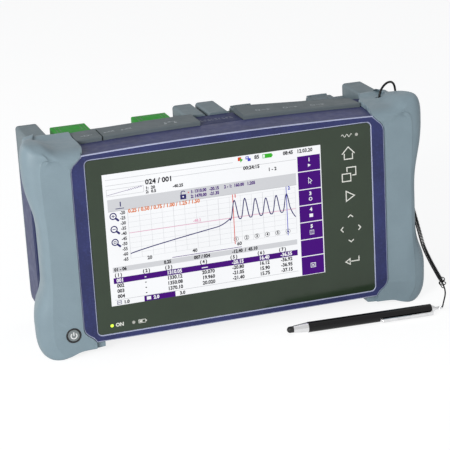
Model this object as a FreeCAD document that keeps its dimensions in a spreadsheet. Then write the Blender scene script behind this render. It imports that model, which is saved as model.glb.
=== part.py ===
import FreeCAD, Part
import math
import os
import Sketcher

# A hand-held optical time domain reflectometer: a 7 inch touch-screen base unit with rubber
# bumpers, two plug-in test modules on its back, a tilt bail and a tethered stylus.
# Millimetres. X to the right and Y to the back as the user sees the screen, Z up.
# The origin is on the table, under the middle of the unit.

os.makedirs("parts", exist_ok=True)
doc = FreeCAD.newDocument("otdr")
Vec = FreeCAD.Vector


# ---------------------------------------------------------------- driving dimensions

SHEET = {
    "case": {
        "front_y": (-42.0, "front face of the case"),
        "case_width": (248, "front and rear shell, under the bumpers"),
        "case_bottom": (8.4, "underside above the table"),
        "case_top": (140.8, "top of the crown, at the middle"),
        "crown_radius": (2500, "gentle arch of the top"),
        "front_depth": (28, "depth of the front shell"),
        "rear_depth": (22.8, "depth of the rear shell"),
        "front_wall": (3.6, "wall behind the glass ledge"),
        "case_wall": (2.6, "other walls"),
        "case_corner": (8, "outer corner of both shells"),
        "fit_gap": (0.1, "between fixed pieces"),
        "rest_gap": (0.3, "between a moving piece and its seat"),
    },
    "panel": {
        "panel_thick": (1.6, "touch panel"),
        "panel_corner": (3, "touch panel corner"),
        "panel_z": (73.8, "centre of the touch panel"),
        "ledge": (3.4, "ledge that carries the glass"),
        "screen_width": (152.4, "active area of a 7 inch 800 x 480 display"),
        "screen_height": (91.44, "active area"),
        "panel_side": (47.0, "touch panel wider than the active area"),
        "panel_rise": (29.76, "touch panel taller than the active area"),
        "screen_x": (-13.07, "centre of the screen"),
        "screen_rise": (4.18, "screen centre above the panel centre"),
        "lcd_border": (6.3, "metal frame round the active area"),
        "lcd_thick": (5.5, "display module"),
        "board_thick": (1.6, "every circuit board"),
        "light_radius": (1.1, "status light pipe"),
        "light_z": (18.6, "lower pair of status lights"),
        "light_top_z": (127.4, "upper status light"),
    },
    "bumper": {
        "waist_x": (133.0, "outside of the bumper at its waist"),
        "lobe_x": (140.2, "outside of the bumper at its lobes"),
        "bumper_proud": (1.2, "bumper in front of the case"),
        "lip_x": (110, "inner edge of the front lip"),
        "lip_low": (19.3, "lower end of the straight lip edge"),
        "lip_high": (131.3, "upper end of the straight lip edge"),
        "lip_tip_x": (101.5, "tips of the lip"),
        "lip_rebate": (2.4, "step in the case that the lip fills"),
        "strap_top": (142, "top strap of the bumper"),
        "horn_rise": (6.3, "upper outer horn above the strap"),
        "waist_back": (20.5, "rear edge of the bumper at its waist, from the case front"),
        "lobe_back": (62, "rear end of the lower lobe, from the case front"),
    },
    "flaps": {
        "flap_rise": (2.6, "flaps above the crown"),
        "flap_floor": (137.8, "sunk seat of the flaps"),
        "flap_seam": (1.0, "between the power flap and the data flap"),
        "power_flap_x": (-98, "left end"),
        "data_flap_x": (-79.5, "left end"),
        "data_flap_end": (-12, "right end"),
        "fibre_flap_x": (19, "left end"),
        "fibre_flap_end": (104, "right end"),
        "fibre_flap_high": (145.3, "rear left corner of the wedge"),
        "fibre_flap_low": (140.2, "rear right corner of the wedge"),
        "strip_depth": (1.9, "fixed rear strip of each flap"),
        "flap_recess": (2.2, "hollow under each flap"),
        "flap_rim": (2.0, "rim of the flap round its hollow"),
    },
    "modules": {
        "module_depth": (34.6, "plug-in module"),
        "module_width": (126.8, "plug-in module"),
        "module_gap": (2.4, "between the two modules"),
        "module_top": (133, "port face, between the ears"),
        "module_wall": (2.2, "module case"),
        "ear_top": (142.2, "upper corners of each module"),
        "ear_outer": (15.5, "width of the outer ear"),
        "ear_inner": (14.4, "width of the inner ear"),
        "shelf_thick": (2.4, "shelf and plates of the carrier"),
        "plate_step": (1.8, "outer layer of the carrier plate"),
        "cover_thick": (3.2, "rear cover of a module"),
        "thumb_radius": (4.6, "head of a module screw"),
        "thumb_length": (4.0, "head of a module screw"),
        "thumb_shank": (1.8, "radius of a module screw's shank"),
    },
    "ports": {
        "cap_width": (25, "green port cap"),
        "cap_depth": (21.5, "green port cap"),
        "cap_height": (5.8, "green port cap"),
        "cap_wall": (1.5, "port caps"),
        "low_cap_width": (19, "flat port cap"),
        "low_cap_depth": (17, "flat port cap"),
        "low_cap_height": (3.0, "flat port cap"),
        "cap_front": (59.5, "front edge of the port caps, from the case front"),
        "cap_pin_radius": (0.8, "hinge pin of a port cap"),
        "pin_clearance": (0.06, "round a hinge pin"),
        "adapter_width": (13, "fibre adapter"),
        "adapter_depth": (11, "fibre adapter"),
    },
    "inside": {
        "battery_width": (150, "battery pack"),
        "battery_height": (70, "battery pack"),
        "battery_depth": (22, "battery pack"),
        "fan_size": (20, "cooling fan"),
        "fan_height": (8, "cooling fan"),
        "fan_x": (-99, "cooling fan"),
        "speaker_x": (99, "loudspeaker"),
        "speaker_radius": (12.5, "loudspeaker"),
    },
    "button": {
        "button_x": (-116.9, "power button"),
        "button_z": (16.6, "power button"),
        "button_radius": (4.0, "power button"),
        "ring_radius": (5.2, "black ring round the button"),
        "button_travel": (0.8, "stroke of the button"),
        "stem_radius": (1.5, "stem of the button"),
    },
    "bail": {
        "bail_wire": (2.0, "radius of the steel wire"),
        "bail_x": (70, "side wires of the bail"),
        "bail_front": (32, "cross wire, from the case front"),
        "bail_pivot": (78, "pivot, from the case front"),
        "bail_z": (4.1, "height of the folded bail"),
        "bail_bend": (7, "radius of the bail's front corners"),
        "bail_pin": (9.0, "ends that turn in the lugs"),
    },
    "stylus": {
        "stylus_radius": (3.65, "barrel"),
        "stylus_length": (89, "barrel"),
        "stylus_x": (40.3, "front end of the barrel"),
        "stylus_y": (-65.3, "front end of the barrel"),
        "stylus_turn": (-3.1, "direction on the table, degrees from +X"),
        "tether_radius": (1.6, "coiled tether, outside"),
        "thread_radius": (0.5, "thread at the end of the tether"),
        "loop_radius": (0.8, "tether loop"),
    },
}

sheet = doc.addObject("Spreadsheet::Sheet", "Sizes")


class Size:
    """A cell of the sheet, or arithmetic on cells: its number and its expression."""

    def __init__(self, value, text):
        self.value = float(value)
        self.text = text

    def __add__(self, other):
        other = as_size(other)
        return Size(self.value + other.value, f"({self.text} + {other.text})")

    def __radd__(self, other):
        return as_size(other) + self

    def __sub__(self, other):
        other = as_size(other)
        return Size(self.value - other.value, f"({self.text} - {other.text})")

    def __rsub__(self, other):
        return as_size(other) - self

    def __mul__(self, other):
        other = as_size(other)
        return Size(self.value * other.value, f"({self.text} * {other.text})")

    def __rmul__(self, other):
        return as_size(other) * self

    def __truediv__(self, other):
        other = as_size(other)
        return Size(self.value / other.value, f"({self.text} / {other.text})")

    def __neg__(self):
        return as_size(0) - self


def as_size(number):
    """A plain number as a Size."""
    if isinstance(number, Size):
        return number
    return Size(number, repr(float(number)))


def root(number):
    """The square root of a Size."""
    return Size(math.sqrt(number.value), f"sqrt({number.text})")


class Sizes:
    """The cells of the sheet, by alias."""


size = Sizes()
row = 1
for group, cells in SHEET.items():
    sheet.set(f"A{row}", group)
    row += 1
    for alias, (value, meaning) in cells.items():
        sheet.set(f"A{row}", meaning)
        sheet.set(f"B{row}", str(value))
        sheet.setAlias(f"B{row}", alias)
        setattr(size, alias, Size(value, f"Sizes.{alias}"))
        row += 1
size.panel_width = size.screen_width + size.panel_side
size.panel_height = size.screen_height + size.panel_rise
doc.recompute()


# ---------------------------------------------------------------- drawing helpers

class Circle:
    """A circle of a sketch."""

    def __init__(self, x, y, radius):
        self.x = as_size(x)
        self.y = as_size(y)
        self.radius = as_size(radius)


class Crown:
    """Marks an edge of a loop that is an arc round a centre on the sketch's upright axis."""

    def __init__(self, top, radius):
        self.top = as_size(top)
        self.radius = as_size(radius)

    def height(self, x):
        drop = self.radius - root(self.radius * self.radius - x * x)
        return self.top - drop


def rect(x0, y0, x1, y1):
    """Corners of a rectangle."""
    return [(x0, y0), (x1, y0), (x1, y1), (x0, y1)]


def draw(sketch, loops):
    """Draw closed loops, with every corner, centre and radius bound to the sheet."""
    bound = []

    def hold(kind, *arguments):
        datum = arguments[-1]
        index = sketch.addConstraint(Sketcher.Constraint(kind, *arguments[:-1], datum.value))
        bound.append((index, datum.text))

    for loop in loops:
        if isinstance(loop, Circle):
            centre = Vec(loop.x.value, loop.y.value, 0)
            shape = Part.Circle(centre, Vec(0, 0, 1), loop.radius.value)
            index = sketch.addGeometry(shape, False)
            hold("Radius", index, loop.radius)
            hold("DistanceX", -1, 1, index, 3, loop.x)
            hold("DistanceY", -1, 1, index, 3, loop.y)
            continue
        corners = []
        crowns = {}
        for item in loop:
            if isinstance(item, Crown):
                crowns[len(corners) - 1] = item
            else:
                corners.append((as_size(item[0]), as_size(item[1])))
        count = len(corners)
        first = sketch.GeometryCount
        on_crown = set()
        for place, crown in crowns.items():
            on_crown.update((place, (place + 1) % count))
        ends = []
        for place in range(count):
            start = corners[place]
            stop = corners[(place + 1) % count]
            if place in crowns:
                crown = crowns[place]
                right, left = sorted((start, stop), key=lambda corner: -corner[0].value)
                half = (right[0] + left[0]) / 2
                top = Vec(half.value, crown.height(half).value, 0)
                east = Vec(right[0].value, crown.height(right[0]).value, 0)
                west = Vec(left[0].value, crown.height(left[0]).value, 0)
                sketch.addGeometry(Part.Arc(east, top, west), False)
                ends.append((1, 2) if start is right else (2, 1))
            else:
                a = Vec(start[0].value, start[1].value, 0)
                b = Vec(stop[0].value, stop[1].value, 0)
                sketch.addGeometry(Part.LineSegment(a, b), False)
                ends.append((1, 2))
        for place in range(count):
            after = (place + 1) % count
            pair = (first + place, ends[place][1], first + after, ends[after][0])
            sketch.addConstraint(Sketcher.Constraint("Coincident", *pair))
        for place, (x, y) in enumerate(corners):
            hold("DistanceX", -1, 1, first + place, ends[place][0], x)
            if place not in on_crown:
                hold("DistanceY", -1, 1, first + place, ends[place][0], y)
        for place, crown in crowns.items():
            hold("Radius", first + place, crown.radius)
            hold("DistanceX", -1, 1, first + place, 3, as_size(0))
            hold("DistanceY", -1, 1, first + place, 3, crown.top - crown.radius)
    for index, text in bound:
        sketch.setExpression(f"Constraints[{index}]", text)


PLANES = {"XY": ("XY_Plane", 1), "XZ": ("XZ_Plane", -1), "YZ": ("YZ_Plane", 1)}


class Piece:
    """One body of the assembly, built up by features."""

    made = []

    def __init__(self, label, mirror_of=None):
        self.body = doc.addObject("PartDesign::Body", label)
        self.body.Label = label
        self.label = label
        Piece.made.append(self.body)

    def sketch(self, plane, at, loops):
        """A sketch at a distance along the plane's positive axis."""
        role, sign = PLANES[plane]
        name = f"{self.label}_sketch"
        sketch = self.body.newObject("Sketcher::SketchObject", name)
        origin = self.body.Origin.OriginFeatures
        support = [feature for feature in origin if feature.Role == role][0]
        sketch.AttachmentSupport = (support, [""])
        sketch.MapMode = "FlatFace"
        offset = as_size(at) * sign
        sketch.AttachmentOffset = FreeCAD.Placement(Vec(0, 0, offset.value), FreeCAD.Rotation())
        sketch.setExpression(".AttachmentOffset.Base.z", offset.text)
        draw(sketch, loops)
        return sketch

    def pad(self, plane, at, length, loops):
        """Add material from the plane towards its positive axis."""
        sketch = self.sketch(plane, at, loops)
        feature = self.body.newObject("PartDesign::Pad", f"{self.label}_pad")
        feature.Profile = sketch
        feature.Length = as_size(length).value
        feature.setExpression("Length", as_size(length).text)
        feature.Reversed = plane == "XZ"
        doc.recompute()
        return self

    def pocket(self, plane, at, length, loops):
        """Remove material from the plane towards its positive axis."""
        before = self.body.Shape.Volume
        sketch = self.sketch(plane, at, loops)
        feature = self.body.newObject("PartDesign::Pocket", f"{self.label}_pocket")
        feature.Profile = sketch
        feature.Length = as_size(length).value
        feature.setExpression("Length", as_size(length).text)
        feature.Reversed = plane != "XZ"
        doc.recompute()
        if self.body.Shape.Volume >= before:
            raise RuntimeError(f"a pocket of {self.label} removes nothing")
        return self

    def dress(self, kind, amount, chosen):
        """Round or bevel the edges that a test chooses."""
        shape = self.body.Shape
        names = [f"Edge{place}" for place, edge in enumerate(shape.Edges, 1) if chosen(edge)]
        tip = self.body.Tip
        feature = self.body.newObject(f"PartDesign::{kind}", f"{self.label}_{kind.lower()}")
        feature.Base = (tip, names)
        amount = as_size(amount)
        key = "Radius" if kind == "Fillet" else "Size"
        setattr(feature, key, amount.value)
        feature.setExpression(key, amount.text)
        doc.recompute()
        if "Invalid" in feature.State:
            raise RuntimeError(f"{kind} of {self.label} fails on {len(names)} edges")
        return self

    def fillet(self, radius, chosen):
        return self.dress("Fillet", radius, chosen)

    def chamfer(self, amount, chosen):
        return self.dress("Chamfer", amount, chosen)


def along(edge, axis):
    """True for a straight edge along the axis."""
    if edge.Curve.TypeId != "Part::GeomLine":
        return False
    direction = edge.tangentAt(edge.FirstParameter)
    return abs(abs(direction.dot(axis)) - 1) < 1e-6


AXIS = {"X": Vec(1, 0, 0), "Y": Vec(0, 1, 0), "Z": Vec(0, 0, 1)}


def middle(edge):
    return edge.CenterOfMass


def bind(thing, **values):
    """Set properties to sizes, by value and by expression."""
    for name, amount in values.items():
        amount = as_size(amount)
        setattr(thing, name, amount.value)
        thing.setExpression(name, amount.text)
    return thing


def place(thing, x, y, z, turn=None):
    """Put a thing at a point given by sizes."""
    turn = turn or FreeCAD.Rotation()
    x, y, z = as_size(x), as_size(y), as_size(z)
    thing.Placement = FreeCAD.Placement(Vec(x.value, y.value, z.value), turn)
    for axis, amount in zip("xyz", (x, y, z)):
        thing.setExpression(f".Placement.Base.{axis}", amount.text)
    return thing


TURNS = {
    "X": FreeCAD.Rotation(Vec(0, 1, 0), 90),
    "Y": FreeCAD.Rotation(Vec(1, 0, 0), -90),
    "Z": FreeCAD.Rotation(),
}


def block(x0, y0, z0, x1, y1, z1):
    """A box between two corners."""
    x0, y0, z0, x1, y1, z1 = [as_size(v) for v in (x0, y0, z0, x1, y1, z1)]
    box = doc.addObject("Part::Box", "block")
    bind(box, Length=x1 - x0, Width=y1 - y0, Height=z1 - z0)
    return place(box, x0, y0, z0)


def rod(axis, x, y, z, radius, length):
    """A cylinder that starts at a point and runs along an axis."""
    cylinder = doc.addObject("Part::Cylinder", "rod")
    bind(cylinder, Radius=radius, Height=length)
    return place(cylinder, x, y, z, TURNS[axis])


def join(*things):
    """One solid from several."""
    if len(things) == 1:
        return things[0]
    fused = doc.addObject("Part::MultiFuse", "join")
    fused.Shapes = list(things)
    fused.Refine = True
    return fused


def less(base, *tools):
    """The base without the tools."""
    cut = doc.addObject("Part::Cut", "less")
    cut.Base = base
    cut.Tool = join(*tools)
    return cut


def node(label, *things):
    """Name a finished sub-part; several things are a group of separate solids."""
    thing = things[0]
    if len(things) > 1:
        thing = doc.addObject("Part::Compound", label)
        thing.Links = list(things)
    thing.Label = label
    NODES[label] = thing
    return thing


def made(label, *shapes):
    """A sub-part whose shape is made in code."""
    thing = doc.addObject("Part::Feature", label)
    thing.Shape = shapes[0] if len(shapes) == 1 else Part.makeCompound(list(shapes))
    return node(label, thing)


NODES = {}


# ---------------------------------------------------------------- places that pieces share

S = size
case_x = S.case_width / 2
seam_y = S.front_y + S.front_depth
back_y = seam_y + S.rear_depth
inner_x = case_x - S.case_wall
floor_z = S.case_bottom + S.case_wall
roof_z = S.flap_floor - 3
glass_back_y = S.front_y + S.panel_thick + 2 * S.fit_gap
wall_back_y = S.front_y + S.front_wall
bracket_y = glass_back_y + S.lcd_thick + S.fit_gap
bracket_thick = 1.0
standoff = 4.0
main_board_y = bracket_y + bracket_thick + standoff
key_board_y = glass_back_y + 0.8
screen_z = S.panel_z + S.screen_rise
plate_y = back_y - S.shelf_thick
step_y = back_y + S.plate_step
module_y = step_y + 0.2
module_back = module_y + S.module_depth - 2
crown = Crown(S.case_top, S.crown_radius)
inner_crown = Crown(S.case_top - S.case_wall, S.crown_radius - S.case_wall)
flap_crown = Crown(S.case_top + S.flap_rise, S.crown_radius + S.flap_rise)


def crowned(x0, z0, x1, arch):
    """A loop with a flat bottom, upright sides and an arched top."""
    return [(x0, z0), (x1, z0), (x1, arch.height(as_size(x1))), arch,
            (x0, arch.height(as_size(x0)))]


# ---------------------------------------------------------------- case

def lip_edge(gap):
    """The inner edge of the right-hand front lip, an S-curve at both ends, from below up."""
    tip = S.lip_tip_x - gap
    edge = S.lip_x - gap
    low = S.lip_low
    high = S.lip_high
    return [(tip, low - 14), (tip + 0.3, low - 10.2), (tip + 2.2, low - 7.6),
            (edge - 2.6, low - 4.9), (edge - 0.7, low - 2.4), (edge, low + 0.8),
            (edge, high - 3), (edge - 0.5, high - 0.8), (edge - 1.7, high + 1.3),
            (tip + 1.3, high + 6.4), (tip + 0.3, high + 8.3), (tip, high + 11)]


def lip_loop(side, gap):
    """What lies outside the front lip's inner edge, on one side."""
    far = case_x + 20
    edge = lip_edge(gap)
    low = edge[0][1] - 6
    high = edge[-1][1] + 6
    points = [(edge[0][0], low)] + edge + [(edge[-1][0], high), (far, high), (far, low)]
    return [(side * x, z) for x, z in points]


def panel_loop(gap):
    """The outline of the touch panel, grown by a gap."""
    half_x = S.panel_width / 2 + gap
    half_z = S.panel_height / 2 + gap
    return rect(-half_x, S.panel_z - half_z, half_x, S.panel_z + half_z)


def front_shell():
    """The frame round the screen: a crowned box open to the back."""
    case = Piece("front_shell")
    case.pad("XZ", S.front_y, S.front_depth, [crowned(-case_x, S.case_bottom, case_x, crown)])
    case.fillet(S.case_corner, lambda e: along(e, AXIS["Y"]))
    case.pocket("XZ", wall_back_y, S.front_depth,
                [crowned(-inner_x, floor_z, inner_x, inner_crown)])
    case.pocket("XZ", S.front_y, S.panel_thick + S.fit_gap * 2, [panel_loop(S.fit_gap)])
    case.fillet(S.panel_corner, lambda e: along(e, AXIS["Y"]) and e.Length < 2.2
                and abs(middle(e).x) < S.panel_width.value / 2 + 1)
    case.pocket("XZ", S.front_y, S.front_wall, [panel_loop(-S.ledge)])
    for side in (-1, 1):
        case.pocket("XZ", S.front_y, S.lip_rebate, [lip_loop(side, 0.25)])
    # bore for the stem of the power button
    case.pocket("XZ", S.front_y, S.front_wall,
                [Circle(S.button_x, S.button_z, S.stem_radius + 0.08)])
    for x in (-103.5, 103.5):
        for z in (S.lip_low + 4, S.panel_z, S.lip_high - 6):
            case.pad("XZ", wall_back_y - 0.2, bracket_y - wall_back_y + 0.2, [Circle(x, z, 3.5)])
    half = S.battery_width / 2 + 1
    case.pocket("XY", S.case_bottom - 1, S.case_wall + 2,
                [rect(-half, battery_y - 1, half, seam_y + 1)])
    NODES["front_shell"] = case.body


def rear_shell():
    """The deep half of the case, with the seats of the top flaps and the battery bay."""
    case = Piece("rear_shell")
    case.pad("XZ", seam_y, S.rear_depth, [crowned(-case_x, S.case_bottom, case_x, crown)])
    case.fillet(S.case_corner, lambda e: along(e, AXIS["Y"]))
    case.pocket("XZ", seam_y, S.rear_depth, [rect(-inner_x, floor_z, inner_x, roof_z)])
    top = S.case_top + 2
    seat = S.rest_gap + 0.4
    for left, right in ((S.power_flap_x - seat, S.data_flap_end + seat),
                        (S.fibre_flap_x - seat, S.fibre_flap_end + seat)):
        case.pocket("XZ", seam_y, S.rear_depth, [rect(left, S.flap_floor, right, top)])
    NODES["rear_shell"] = case.body
    return case


def top_openings(case):
    """Holes in the roof over the connectors, and the openings of the underside."""
    for x, width, depth in CONNECTORS.values():
        half = as_size(width) / 2 + S.fit_gap
        y = connector_y
        deep = as_size(depth) / 2 + S.fit_gap
        case.pocket("XY", roof_z, S.flap_floor - roof_z + 1,
                    [rect(x - half, y - deep, x + half, y + deep)])
    for x in FIBRE_PORTS:
        case.pocket("XY", roof_z, S.flap_floor - roof_z + 1,
                    [Circle(x, connector_y, fibre_port_radius + S.fit_gap)])
    half = S.battery_width / 2 + 1
    case.pocket("XY", S.case_bottom, S.case_wall + 1,
                [rect(-half, battery_y - 1, half, battery_y + S.battery_depth + 1)])
    for x, count, length in ((S.fan_x, 4, S.fan_size - 3), (S.speaker_x, 5, 18)):
        for number in range(count):
            y = vent_y + (number - (count - 1) / 2) * 3.8
            half = as_size(length) / 2
            case.pocket("XY", S.case_bottom - 1, S.case_wall + 2,
                        [rect(x - half, y - 0.9, x + half, y + 0.9)])
    # ribs that hold the battery
    for side in (-1, 1):
        x0 = side * (S.battery_width / 2 + 1.4)
        low, high = (x0, x0 + 1.6) if side > 0 else (x0 - 1.6, x0)
        case.pad("XZ", seam_y, S.rear_depth - S.shelf_thick - S.board_thick - 0.4,
                 [rect(low, floor_z - 0.3, high, floor_z + S.battery_height)])


battery_y = plate_y - 2.2 - S.battery_depth
vent_y = seam_y + 9.5
connector_y = seam_y + 10.4
fibre_port_radius = 5.5
CONNECTORS = {
    "dc_inlet": (as_size(-89), 12, 11),
    "usb_port_1": (as_size(-72), 14.6, 7.2),
    "usb_port_2": (as_size(-54), 14.6, 7.2),
    "ethernet_jack": (as_size(-31), 16.2, 13.6),
}
FIBRE_PORTS = (33.0, 52.0, 71.0)

front_shell()
shell = rear_shell()
top_openings(shell)


# ---------------------------------------------------------------- touch panel and display

def touch_panel():
    """The glass, with three small holes for the status lights."""
    glass = Piece("touch_panel")
    glass.pad("XZ", S.front_y + S.fit_gap, S.panel_thick, [panel_loop(as_size(0))])
    glass.fillet(S.panel_corner, lambda e: along(e, AXIS["Y"]))
    for x, z in lights():
        glass.pocket("XZ", S.front_y - 1, S.front_wall, [Circle(x, z, S.light_radius + 0.1)])
    NODES["touch_panel"] = glass.body


def lights():
    """Places of the status lights."""
    return ((as_size(-90.1), S.light_z), (as_size(-75.1), S.light_z),
            (as_size(89.6), S.light_top_z))


def display():
    """The display module, its bracket and the boards in front of and behind it."""
    half_x = S.screen_width / 2 + S.lcd_border
    half_z = S.screen_height / 2 + S.lcd_border
    node("lcd_display", block(S.screen_x - half_x, glass_back_y, screen_z - half_z,
                              S.screen_x + half_x, glass_back_y + S.lcd_thick, screen_z + half_z))
    # the key board is an L beside and below the display
    window_x = S.panel_width / 2 - S.ledge - 0.4
    window_low = S.panel_z - S.panel_height / 2 + S.ledge + 0.4
    window_high = S.panel_z + S.panel_height / 2 - S.ledge - 0.4
    arm_x = S.screen_x + half_x + 1.2
    arm_z = screen_z - half_z - 1.0
    board = Piece("key_board")
    board.pad("XZ", key_board_y, S.board_thick,
              [[(-window_x, window_low), (window_x, window_low), (window_x, window_high),
                (arm_x, window_high), (arm_x, arm_z), (-window_x, arm_z)]])
    NODES["key_board"] = board.body
    node("status_lights", *[rod("Y", x, S.front_y + S.fit_gap + 0.1, z, S.light_radius,
                                key_board_y - S.front_y - S.fit_gap - 0.1)
                            for x, z in lights()])
    # sheet-metal bracket: screwed to six bosses of the front shell, standoffs both ways
    bracket = Piece("display_bracket")
    bracket.pad("XZ", bracket_y, bracket_thick,
                [rect(-(inner_x - 10), S.lip_low - 2, inner_x - 10, S.lip_high)])
    bracket.pocket("XZ", bracket_y - 1, 3, [rect(-60, 55, 40, 100)])
    for x, z in BOARD_HOLES:
        bracket.pad("XZ", bracket_y + bracket_thick - 0.2, standoff + 0.2, [Circle(x, z, 2.5)])
    gap = bracket_y - key_board_y - S.board_thick
    for x, z in ((window_x - 4, window_low + 5), (window_x - 4, window_high - 5),
                 (4 - window_x, window_low + 4), (as_size(0), window_low + 4)):
        bracket.pad("XZ", key_board_y + S.board_thick, gap + 0.2, [Circle(x, z, 2.0)])
    NODES["display_bracket"] = bracket.body
    # main board with two screening cans
    y = main_board_y
    board = block(-98, y, 26, 98, y + S.board_thick, 124)
    cans = [block(x0, y + S.board_thick, z0, x1, y + S.board_thick + 3.2, z1)
            for x0, z0, x1, z1 in ((-84, 88, -40, 118), (-20, 92, 14, 118), (30, 84, 84, 116))]
    node("main_board", join(board, *cans))


BOARD_HOLES = ((-94, 32), (94, 32), (-94, 118), (94, 118), (-30, 32), (30, 112))

touch_panel()
display()


# ---------------------------------------------------------------- inside the case

def battery():
    half = S.battery_width / 2
    low = floor_z + 0.3
    pack = Piece("battery_pack")
    pack.pad("XZ", battery_y, S.battery_depth, [rect(-half, low, half, low + S.battery_height)])
    pack.fillet(6, lambda e: along(e, AXIS["X"]))
    NODES["battery_pack"] = pack.body
    door = Piece("battery_door")
    half = S.battery_width / 2 + 1 - S.fit_gap
    deep = S.battery_depth / 2 + 1 - S.fit_gap
    centre = battery_y + S.battery_depth / 2
    door.pad("XY", S.case_bottom, S.case_wall, [rect(-half, centre - deep, half, centre + deep)])
    for x in (-62, 62):
        door.pocket("XY", S.case_bottom - 1, S.case_wall + 2, [Circle(x, centre, 1.7)])
        door.pocket("XY", S.case_bottom - 1, 2.2, [Circle(x, centre, 3.2)])
    NODES["battery_door"] = door.body
    screws = [join(rod("Z", x, centre, S.case_bottom + 0.1, 3.0, 1.1),
                   rod("Z", x, centre, S.case_bottom + 1.1, 1.5, 1.4)) for x in (-62, 62)]
    node("battery_door_screws", *screws)


def fan():
    """A square cooling fan over the vent slots of the underside."""
    half = S.fan_size / 2
    bore = half - 1.4
    frame = Piece("fan_housing")
    frame.pad("XY", floor_z, S.fan_height, [rect(S.fan_x - half, vent_y - half,
                                                 S.fan_x + half, vent_y + half)])
    frame.fillet(2.0, lambda e: along(e, AXIS["Z"]))
    frame.pocket("XY", floor_z + 1.0, S.fan_height, [Circle(S.fan_x, vent_y, bore)])
    opening = bore - 1
    for x, y in ((-1, -1), (-1, 1), (1, -1), (1, 1)):
        x0, x1 = sorted((x * 1.6, x * (opening.value - 2.4)))
        y0, y1 = sorted((y * 1.6, y * (opening.value - 2.4)))
        frame.pocket("XY", floor_z - 1, 3, [rect(S.fan_x + x0, vent_y + y0,
                                                 S.fan_x + x1, vent_y + y1)])
    hub_z = floor_z + 1.0
    frame.pad("XY", hub_z - 0.2, 4.2, [Circle(S.fan_x, vent_y, 1.5)])
    NODES["fan_housing"] = frame.body
    shaft = 1.56
    hub = S.fan_size * 0.18
    wheel = less(rod("Z", S.fan_x, vent_y, hub_z + S.rest_gap, hub, S.fan_height - 2),
                 rod("Z", S.fan_x, vent_y, hub_z - 1, shaft, 5.3))
    blades = []
    for number in range(7):
        blade = doc.addObject("Part::Box", "blade")
        bind(blade, Length=bore - hub - 0.1, Width=0.8, Height=S.fan_height - 3)
        turn = FreeCAD.Rotation(Vec(0, 0, 1), number * 360 / 7)
        lean = FreeCAD.Rotation(Vec(1, 0, 0), 35)
        spot = turn.multVec(Vec(hub.value - 0.5, 0, 0))
        place(blade, S.fan_x + spot.x, vent_y + spot.y, hub_z + 1.0, turn.multiply(lean))
        blades.append(blade)
    node("fan_rotor", join(wheel, *blades))


def speaker():
    node("speaker", join(rod("Z", S.speaker_x, vent_y, floor_z, S.speaker_radius - 4, 3.4),
                         rod("Z", S.speaker_x, vent_y, floor_z, S.speaker_radius - 2, 1.4),
                         rod("Z", S.speaker_x, vent_y, floor_z + 3.2, 6.5, 2.6)))


def connectors():
    """Sockets under the top flaps, on a board that hangs from the roof."""
    board_z = roof_z - 14
    top = S.flap_floor - 0.1
    parts = {}
    for label, (x, width, depth) in CONNECTORS.items():
        half = as_size(width) / 2
        deep = as_size(depth) / 2
        body = block(x - half, connector_y - deep, board_z, x + half, connector_y + deep, top)
        if label == "dc_inlet":
            body = less(body, rod("Z", x, connector_y, top - 9.5, 3.2, 10))
            body = join(body, rod("Z", x, connector_y, top - 10, 0.9, 8))
        elif label == "ethernet_jack":
            body = less(body, block(x - 5.9, connector_y - 4.2, top - 11.5,
                                    x + 5.9, connector_y + 4.4, top + 1))
        else:
            body = less(body, block(x - 6.3, connector_y - 2.7, top - 9,
                                    x + 6.3, connector_y + 2.7, top + 1))
            body = join(body, block(x - 5.6, connector_y - 2.8, top - 9.2,
                                    x + 5.6, connector_y - 0.6, top - 1))
        parts[label] = body
    node("dc_inlet", parts["dc_inlet"])
    node("usb_ports", parts["usb_port_1"], parts["usb_port_2"])
    node("ethernet_jack", parts["ethernet_jack"])
    ports = []
    for x in FIBRE_PORTS:
        outer = rod("Z", x, connector_y, board_z, fibre_port_radius, top - board_z)
        socket = rod("Z", x, connector_y, top - 9, 3.4, 10)
        sleeve = less(rod("Z", x, connector_y, top - 9.5, 2.0, 6), rod("Z", x, connector_y,
                                                                       top - 8, 1.25, 8))
        ports.append(join(less(outer, socket), sleeve))
    node("fibre_test_ports", *ports)
    node("connector_board", block(-98, seam_y + 1, board_z - S.board_thick,
                                  98, seam_y + 19, board_z))


battery()
fan()
speaker()
connectors()


# ---------------------------------------------------------------- top flaps

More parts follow.
